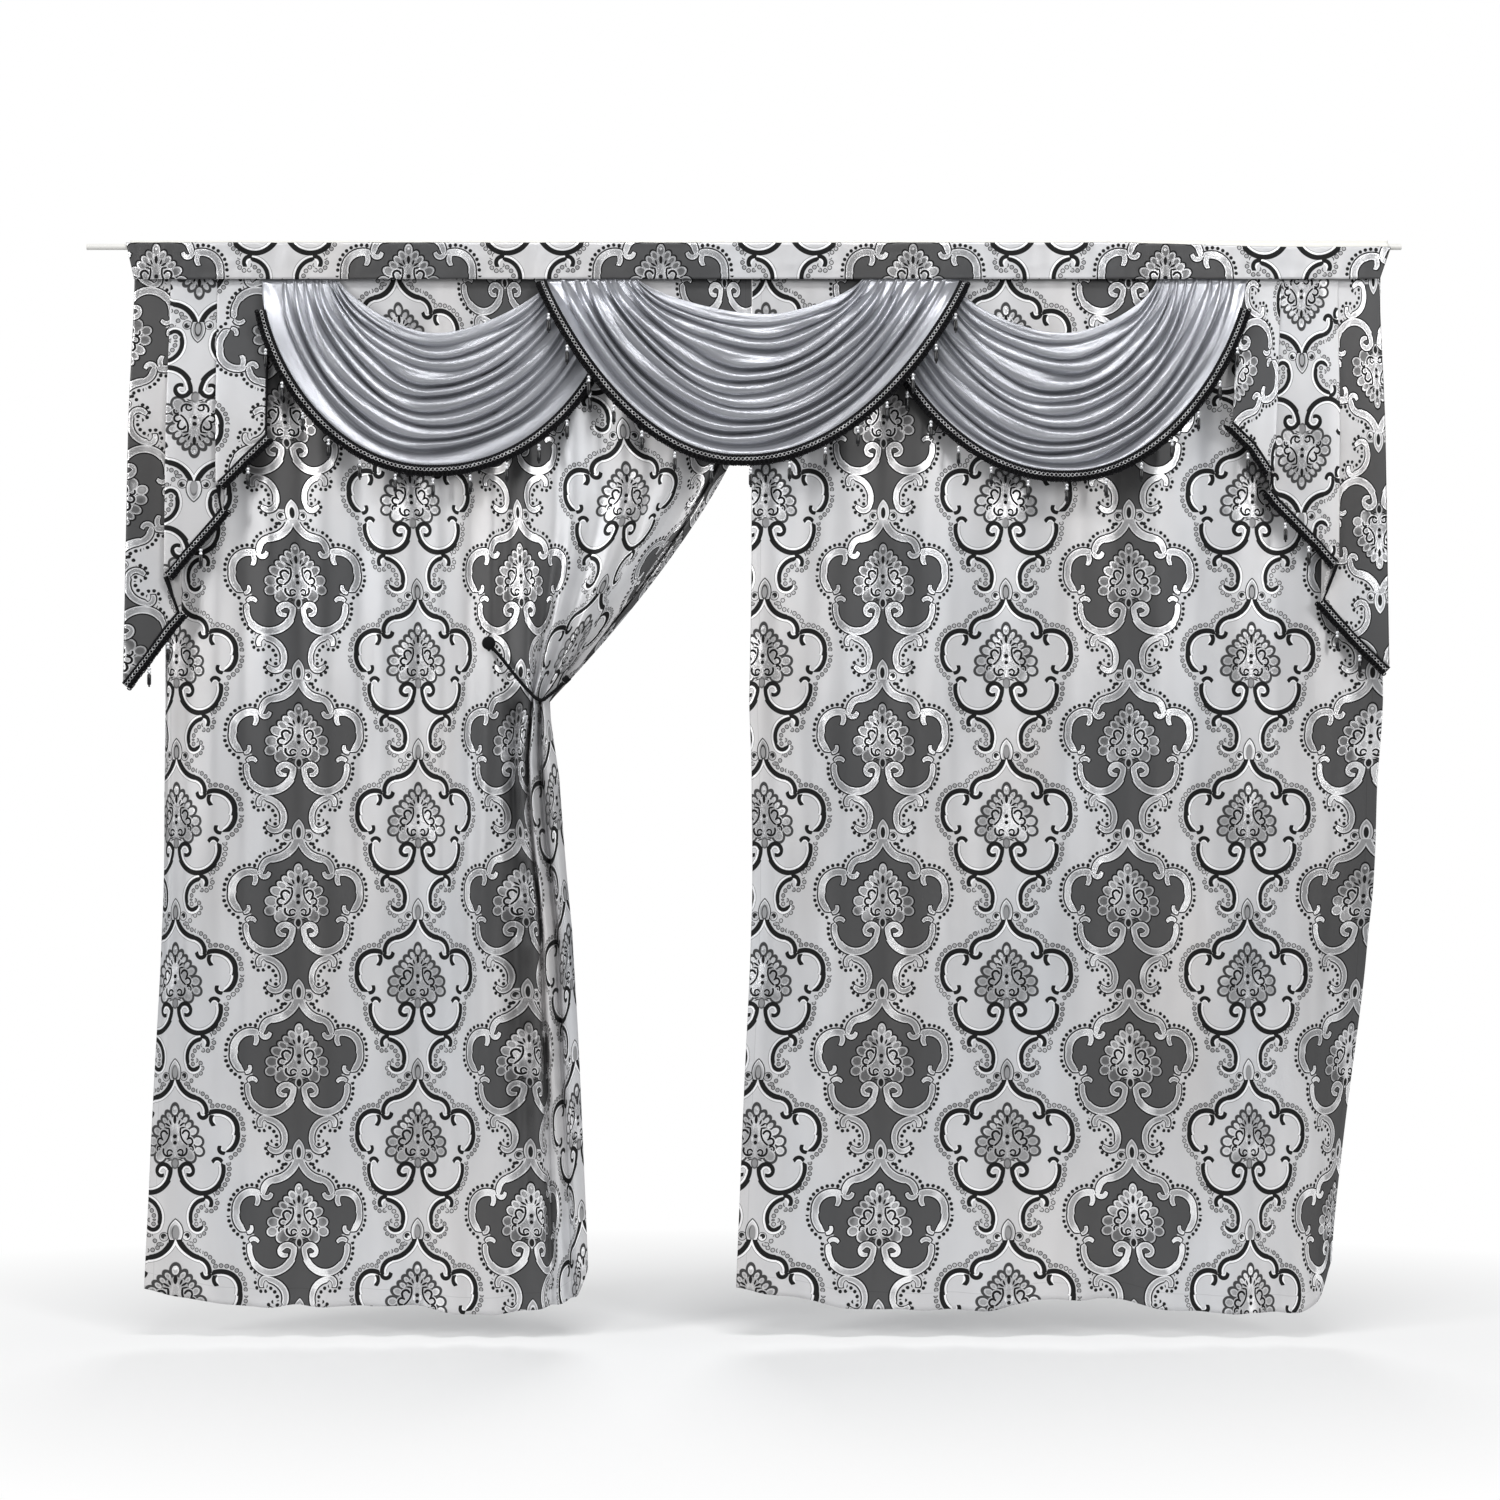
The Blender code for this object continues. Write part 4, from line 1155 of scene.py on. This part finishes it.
def swag_relief(pleats, down, across):
    """How far a swag is tucked in: a slow rise to each crest, then a quick turn into its groove."""
    groove_at, groove_depth = 0.0, 0.0
    rise = mix(PLEAT_KEEN, PIN_KEEN, ease((abs(across) - PIN_FROM) / PIN_REACH))
    wander = PLEAT_WANDER * soft_noise(across * 2.6, down * 7, 17)
    wander = wander * ease(down / WANDER_GROWS) * ease((1 - down) / WANDER_GROWS)
    down = min(1.0, max(0.0, down + wander))
    for index, pleat in enumerate(pleats):
        swell = 0.9 + 0.7 * soft_noise(across * 2.3, index * 3.1, 11)
        away = across if index % 2 else -across
        swell *= 1 - PLEAT_FADE * ease((away - FADE_FROM) / FADE_REACH)
        end = pleat.right if across > 0 else pleat.left
        depth = PLEAT_GAIN * mix(pleat.middle, end, abs(across)) * swell
        if down < pleat.crest:
            t = (down - groove_at) / (pleat.crest - groove_at)
            return groove_depth * (1 - t) ** rise
        if down < pleat.groove:
            t = (down - pleat.crest) / (pleat.groove - pleat.crest)
            return depth * t**PLEAT_KEEN
        groove_at, groove_depth = pleat.groove, depth
    t = (down - groove_at) / (1 - groove_at)
    return groove_depth * (1 - t) ** rise


def swag_downs(pleats):
    """Rows from the neckline to the hem, closest where the cloth turns into a groove."""
    downs, last = [0.0], 0.0
    for pleat in pleats:
        downs += [mix(last, pleat.crest, t**1.5) for t in steps(12)[1:]]
        downs += [mix(pleat.crest, pleat.groove, t) for t in steps(7)[1:]]
        last = pleat.groove
    return downs + [mix(last, 1.0, t) for t in steps(8)[1:]]


def dress_swag(swag):
    """A satin swag; the band presses its folds flat where they start."""
    pleats = PLEATS[swag.name]

    def at(down, across):
        fine = SWAG_CREASE * soft_noise(across * 3, down * 34, 12)
        relief = max(0.0, swag_relief(pleats, down, across) + fine)
        point = swag_point(swag, across, down)
        room = SEAM_RELIEF + (swag.depth - point.y) / 2
        point.y += min(relief, room)
        return point, (across * SWAG_HALF_CUT, down * SWAG_FULL_DROP)

    rows, uvs = grid(swag_downs(pleats), [mix(-1, 1, t) for t in steps(SWAG_FINE)], at)
    return laid("swag_" + swag.name, rows, uvs, materials=[SATIN])


def dress_tail(side):
    """A tail, its bends rounded, and a map that runs on through the parts folded out of sight."""
    flats = []
    for fold in TAIL_FOLDS[side]:
        rounded = [fold.flat - TAIL_BEND, fold.flat, fold.flat + TAIL_BEND]
        flats += rounded if fold.bend else [fold.flat]
    places = [k / TAIL_FINE for k in range((len(flats) - 1) * TAIL_FINE + 1)]
    rows, uvs = [], []
    for share in steps(TAIL_ROWS):
        section = tail_section(side, share)
        row = [spline(section, place) for place in places]
        uv = []
        for place, point in zip(places, row):
            flat = spline(flats, place)
            loose = ease((BAND_FOOT - point.z) / TAIL_SETTLES)
            point.y += TAIL_CREASE * loose * soft_noise(flat * 16, point.z * 4, 13)
            uv.append((flat, TAIL_TIP[side] + point.z))
        rows.append(row)
        uvs.append(uv)
    return laid("tail_" + side, rows, uvs)


def resampled(points, step):
    """Points evenly spaced along a line."""
    lengths = [0.0]
    for before, point in zip(points, points[1:]):
        lengths.append(lengths[-1] + (point - before).length)
    count = max(2, round(lengths[-1] / step))
    found, low = [], 0
    for k in range(count + 1):
        want = lengths[-1] * k / count
        while low < len(points) - 2 and lengths[low + 1] < want:
            low += 1
        share = (want - lengths[low]) / (lengths[low + 1] - lengths[low])
        found.append(points[low].lerp(points[low + 1], share))
    return found


def turned_along(path):
    """The points of a path, each with its direction and two ways square to it that don't twist."""
    found, normal = [], None
    for k, point in enumerate(path):
        along = (path[min(k + 1, len(path) - 1)] - path[max(k - 1, 0)]).normalized()
        if normal is None:
            normal = along.orthogonal().normalized()
        normal = (normal - along * normal.dot(along)).normalized()
        found.append((point, normal, along.cross(normal)))
    return found


def skin(build, rings, slot=0, ends=True):
    """Smooth faces from each ring of points to the next, and flat ends."""
    sides = len(rings[0])
    for ring, after in zip(rings, rings[1:]):
        for s in range(sides):
            following = (s + 1) % sides
            face = build.faces.new((ring[s], ring[following], after[following], after[s]))
            face.material_index = slot
            face.smooth = True
    if ends:
        build.faces.new(rings[0][::-1]).material_index = slot
        build.faces.new(rings[-1]).material_index = slot


def tube(build, path, radius, sides, slot=0, flatten=1.0):
    """A round thread along a path; radius is a number or one for each point."""
    rings = []
    for k, (point, normal, other) in enumerate(turned_along(path)):
        size = radius[k] if isinstance(radius, list) else radius
        rings.append([
            build.verts.new(
                point
                + normal * size * math.cos(turn)
                + other * size * flatten * math.sin(turn)
            )
            for turn in (2 * math.pi * s / sides for s in range(sides))
        ])
    skin(build, rings, slot)


def ball(build, centre, size, slot):
    """A bead, stretched by size along X, Y and Z."""
    made = bmesh.ops.create_uvsphere(build, u_segments=10, v_segments=6, radius=1)
    for vert in made["verts"]:
        vert.co = centre + Vector([v * s for v, s in zip(vert.co, size)])
        for face in vert.link_faces:
            face.material_index = slot
            face.smooth = True


def bugle(build, top):
    """A long cut bead with softened ends."""
    shape = [(0.0, 0.55), (0.06, 0.9), (0.14, 1.0), (0.86, 1.0), (0.94, 0.9), (1.0, 0.55)]
    path = [top - Vector((0, 0, BUGLE_LONG * down)) for down, _ in shape]
    tube(build, path, [BUGLE_RADIUS * wide for _, wide in shape], 10)


def trim(name, build, node=None, materials=(BLACK_YARN,)):
    """Makes a piece of trim of what was built."""
    mesh = bpy.data.meshes.new(name)
    bmesh.ops.recalc_face_normals(build, faces=build.faces)
    build.to_mesh(mesh)
    build.free()
    placed(name, mesh, materials, node)


def with_ways(path):
    """The points of a path from left to right, each with the way square to it, in the cloth's plane."""
    found = []
    for k, point in enumerate(path):
        along = path[min(k + 1, len(path) - 1)] - path[max(k - 1, 0)]
        found.append((point, Vector((along.z, 0, -along.x)).normalized()))
    return found


def dress_band_of_braid(name, hem):
    """The braid's flat band and the loops along its foot."""
    build = bmesh.new()
    rings = []
    for k, (point, way) in enumerate(with_ways(resampled(hem, BRAID_STEP))):
        saw = BRAID_SAW * (-1) ** k
        rings.append([
            build.verts.new(point + way * (wide + saw) + Vector((0, deep, 0)))
            for wide, deep in BRAID_SECTION
        ])
    skin(build, rings)
    for k, (point, way) in enumerate(with_ways(resampled(hem, LOOP_PITCH))):
        along = Vector((way.z, 0, -way.x))
        long = LOOP_DROP * (1 + LOOP_UNEVEN * soft_noise(k * 0.9, point.x * 3, 14))
        lean = LOOP_LEAN * soft_noise(k * 0.37, 2.0, 15)
        path = []
        for turn in (math.pi * (0.12 + 1.76 * s / 8) for s in range(9)):
            swing = LOOP_WIDE * math.sin(turn)
            fall = BRAID_BAND - LOOP_ROOT + long * (1 - math.cos(turn)) / 2
            lift = Vector((0, -LOOP_LIFT - LOOP_CROSS * math.sin(turn) * (-1) ** k, 0))
            path.append(point + along * (swing + lean * (fall - BRAID_BAND)) + way * fall + lift)
        tube(build, path, LOOP_THREAD, 5)
    trim(name + "_cloth", build, name)


def dress_chain(name, hem):
    """The two twisted threads of silver yarn on a braid."""
    build = bmesh.new()
    for half in (0, 1):
        path, thick = [], []
        for k, (point, way) in enumerate(with_ways(resampled(hem, CHAIN_PITCH / CHAIN_STEPS))):
            turn = 2 * math.pi * k / CHAIN_STEPS + half * math.pi
            uneven = 1 + CHAIN_UNEVEN * soft_noise(k * 0.13, half * 9.0, 17)
            thick.append(CHAIN_THREAD * uneven * (0.3 + 0.7 * math.cos(turn) ** 2))
            lift = Vector((0, -CHAIN_LIFT + CHAIN_ROUND * math.cos(turn), 0))
            path.append(point + way * (CHAIN_AT + CHAIN_HALF * math.sin(turn)) + lift)
        tube(build, path, thick, 6, flatten=0.7)
    trim(name + "_chain", build, materials=[SILVER_YARN])


def dress_beads(name, hem):
    """The strings of beads under a braid."""
    build = bmesh.new()
    for k, (point, way) in enumerate(with_ways(resampled(hem, DROP_PITCH))[1:-1]):
        sway = DROP_SWAY * soft_noise(k * 1.7, point.x, 16)
        top = point + way * (BRAID_BAND + DROP_ROOT) + Vector((sway, -0.001, 0))
        tube(build, [top, top - Vector((0, 0, BEAD_STRING))], STRING_RADIUS, 4)
        for down, size, slot in BEADS:
            ball(build, top - Vector((0, 0, down)), size, slot)
        bugle(build, top - Vector((0, 0, BUGLE_FROM)))
        ball(build, top - Vector((0, 0, BUGLE_FROM + BUGLE_LONG + END_BEAD_DOWN)), END_BEAD, 0)
    trim(name + "_beads", build, materials=[BLACK_BEAD, CLEAR_BEAD])


def dress_braid(name, hem):
    dress_band_of_braid(name, hem)
    dress_chain(name, hem)
    dress_beads(name, hem)


def fine_hem(swag):
    """The swag's hem, from where its braid starts to where it ends."""
    line = [swag_point(swag, mix(-1, 1, t), 1.0) for t in steps(240)]
    return trimmed(line, swag.braid_left, swag.braid_right)


def fine_tail_hems(side):
    """The stretches of a tail's slanting hem that face the room."""
    section = tail_section(side, 1.0)
    stretches, points, at = [], [], 0
    for fold in TAIL_FOLDS[side]:
        if fold.bend == 1:
            points.append(section[at])
            stretches.append(points)
        elif fold.bend == -1:
            points = [section[at + 2]]
        else:
            points.append(section[at])
        at += 3 if fold.bend else 1
    return stretches + [points]


def dress_returns(side):
    """The braid on the parts of a tail's hem that turn back, seen from behind as plain black."""
    hems = fine_tail_hems(side)
    lift = Vector((0, RETURN_BEHIND, -RETURN_HALF))
    for k, (before, after) in enumerate(zip(hems, hems[1:])):
        build = bmesh.new()
        path = resampled([before[-1] + lift, after[0] + lift], EDGING_STEP)
        tube(build, path, RETURN_HALF, 8, flatten=0.3)
        trim("tail_" + side + "_return_" + str(k + 1), build)


def dress_edging():
    """The narrow black edging down the inner edge of the left tail."""
    line = [tail_section("left", share)[0] for share in steps(40)]
    line = [point + Vector((0.001, -0.0006, 0)) for point in line if point.z < EDGING_TOP]
    build = bmesh.new()
    tube(build, resampled(line, EDGING_STEP), EDGING_HALF, 8, flatten=0.5)
    trim("tail_left_edging", build)


def dress_cord(route):
    """The tie's cord: strands that wind round its path."""
    path = [spline(route, k / 12) for k in range((len(route) - 1) * 12 + 1)]
    path = resampled(path, CORD_STEP)
    lines = [[] for _ in range(CORD_STRANDS)]
    turned = 0.0
    for k, (point, normal, other) in enumerate(turned_along(path)):
        if k:
            turned += (point - path[k - 1]).length / CORD_PITCH * 2 * math.pi
        for s, line in enumerate(lines):
            turn = turned + 2 * math.pi * s / CORD_STRANDS
            line.append(point + (normal * math.cos(turn) + other * math.sin(turn)) * CORD_LAY)
    build = bmesh.new()
    for line in lines:
        tube(build, line, CORD_STRAND, 8)
    trim("tie_cord_rope", build, "tie_cord")


def dress_knot(way):
    """The knot that ends the cord: turns of it round the cord's own way."""
    aside = way.cross(Vector((0, -1, 0))).normalized()
    up = aside.cross(way)
    coil = []
    count = KNOT_TURNS * KNOT_STEPS
    for k in range(count + 1):
        turn = 2 * math.pi * k / KNOT_STEPS
        coil.append(
            KNOT_AT
            + way * mix(-KNOT_HALF, KNOT_HALF, k / count)
            + aside * KNOT_ASIDE * math.cos(turn)
            + up * KNOT_UP * math.sin(turn)
        )
    build = bmesh.new()
    tube(build, coil, KNOT_YARN, 8)
    ball(build, KNOT_AT, KNOT_CORE, 0)
    trim("tie_knot_wraps", build, "tie_knot")


def dress_button():
    """The covered button that the cord hooks on, ribbed round its edge."""
    profile = [
        (BUTTON_RADIUS * math.sin(turn), BUTTON_THICKNESS * math.cos(turn))
        for turn in (t * math.pi / 2 for t in steps(12))
    ]
    profile += [(BUTTON_RADIUS * 0.9, -BUTTON_BACK), (0.0, -BUTTON_BACK)]
    build = bmesh.new()
    rings = []
    for r, (radius, height) in enumerate(profile):
        ring = []
        for turn in (2 * math.pi * s / BUTTON_SIDES for s in range(BUTTON_SIDES)):
            rib = 1 + BUTTON_RIB * math.sin(turn * 12 + r * 0.9) * math.sin(math.pi * min(r / 12, 1))
            wide = radius * rib
            depth = -height * rib - 0.0002
            place = Vector((wide * math.cos(turn), depth, wide * math.sin(turn)))
            ring.append(build.verts.new(BUTTON_AT + place))
        rings.append(ring)
    skin(build, rings, ends=False)
    bmesh.ops.remove_doubles(build, verts=build.verts, dist=0.00002)
    trim("tie_button_cover", build, "tie_button")


def dress_tie():
    """The twisted cord, the knot that ends it and the button at its other end."""
    route = [Vector(point) for point in TIE_ROUTE]
    dress_cord(route)
    dress_knot((route[-1] - route[-2]).normalized())
    dress_button()


def set_studio():
    """A soft studio around the camera at the photograph's angle."""
    scene = bpy.context.scene
    scene.view_settings.view_transform = "Standard"
    camera = bpy.data.cameras.new("camera")
    camera.sensor_width = SENSOR
    camera.lens = SENSOR * -CAMERA_AT.y / VIEW_WIDTH
    camera.clip_end = 100
    made = bpy.data.objects.new("camera", camera)
    scene.collection.objects.link(made)
    made.location = CAMERA_AT
    made.rotation_euler = (math.pi / 2, 0, 0)
    scene.camera = made
    world = bpy.data.worlds.new("studio")
    scene.world = world
    world.use_nodes = True
    tree = world.node_tree
    back = tree.nodes["Background"]
    set_inputs(back, Color=(1, 1, 1, 1), Strength=1.0)
    dim = tree.nodes.new("ShaderNodeBackground")
    set_inputs(dim, Color=(0.96, 0.98, 1.0, 1), Strength=AMBIENT)
    seen = tree.nodes.new("ShaderNodeLightPath")
    blend(tree, seen.outputs["Is Camera Ray"], dim, back, tree.nodes["World Output"])
    for name, place, size, power in LIGHTS:
        lamp = bpy.data.lights.new(name, "AREA")
        lamp.shape = "RECTANGLE"
        lamp.size, lamp.size_y = size
        lamp.energy = power
        made = bpy.data.objects.new(name, lamp)
        scene.collection.objects.link(made)
        made.location = place
        made.rotation_euler = (LIGHT_AIM - Vector(place)).to_track_quat("-Z", "Y").to_euler()
    bpy.ops.mesh.primitive_circle_add(vertices=96, radius=FLOOR_RADIUS, fill_type="NGON",
                                      location=(0, 0, FLOOR_Z))
    floor = bpy.context.object
    floor.name = "floor"
    floor.scale.x = FLOOR_STRETCH
    floor.data.materials.append(fading_floor())


set_studio()
curtain_left = dress_curtain("curtain_left", LEFT_FOLDS, 10, 80, 96, LEFT_COLUMN, LEFT_STRETCH,
                             LEFT_GROOVES, LEFT_LEAN)
meeting = [RIGHT_FOLDS[0]._replace(head_x=MEETING_AT)] + RIGHT_FOLDS[1:]
curtain_right = dress_curtain("curtain_right", meeting, 12, 62, 86, RIGHT_COLUMN, RIGHT_STRETCH,
                              [], 0.0)
band = dress_band()
casing = dress_casing()
for one in SWAGS:
    swag_cloth = dress_swag(one)
    dress_braid("braid_swag_" + one.name, fine_hem(one))
for side in ("left", "right"):
    tail = dress_tail(side)
    for step, hem in zip(("upper", "middle", "lower"), fine_tail_hems(side)):
        line = hem if hem[-1].x > hem[0].x else hem[::-1]
        dress_braid("braid_tail_" + side + "_" + step, line)
    dress_returns(side)
dress_edging()
dress_tie()
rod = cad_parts["rod"]
rod.data.materials.clear()
rod.data.materials.append(ROD_FINISH)
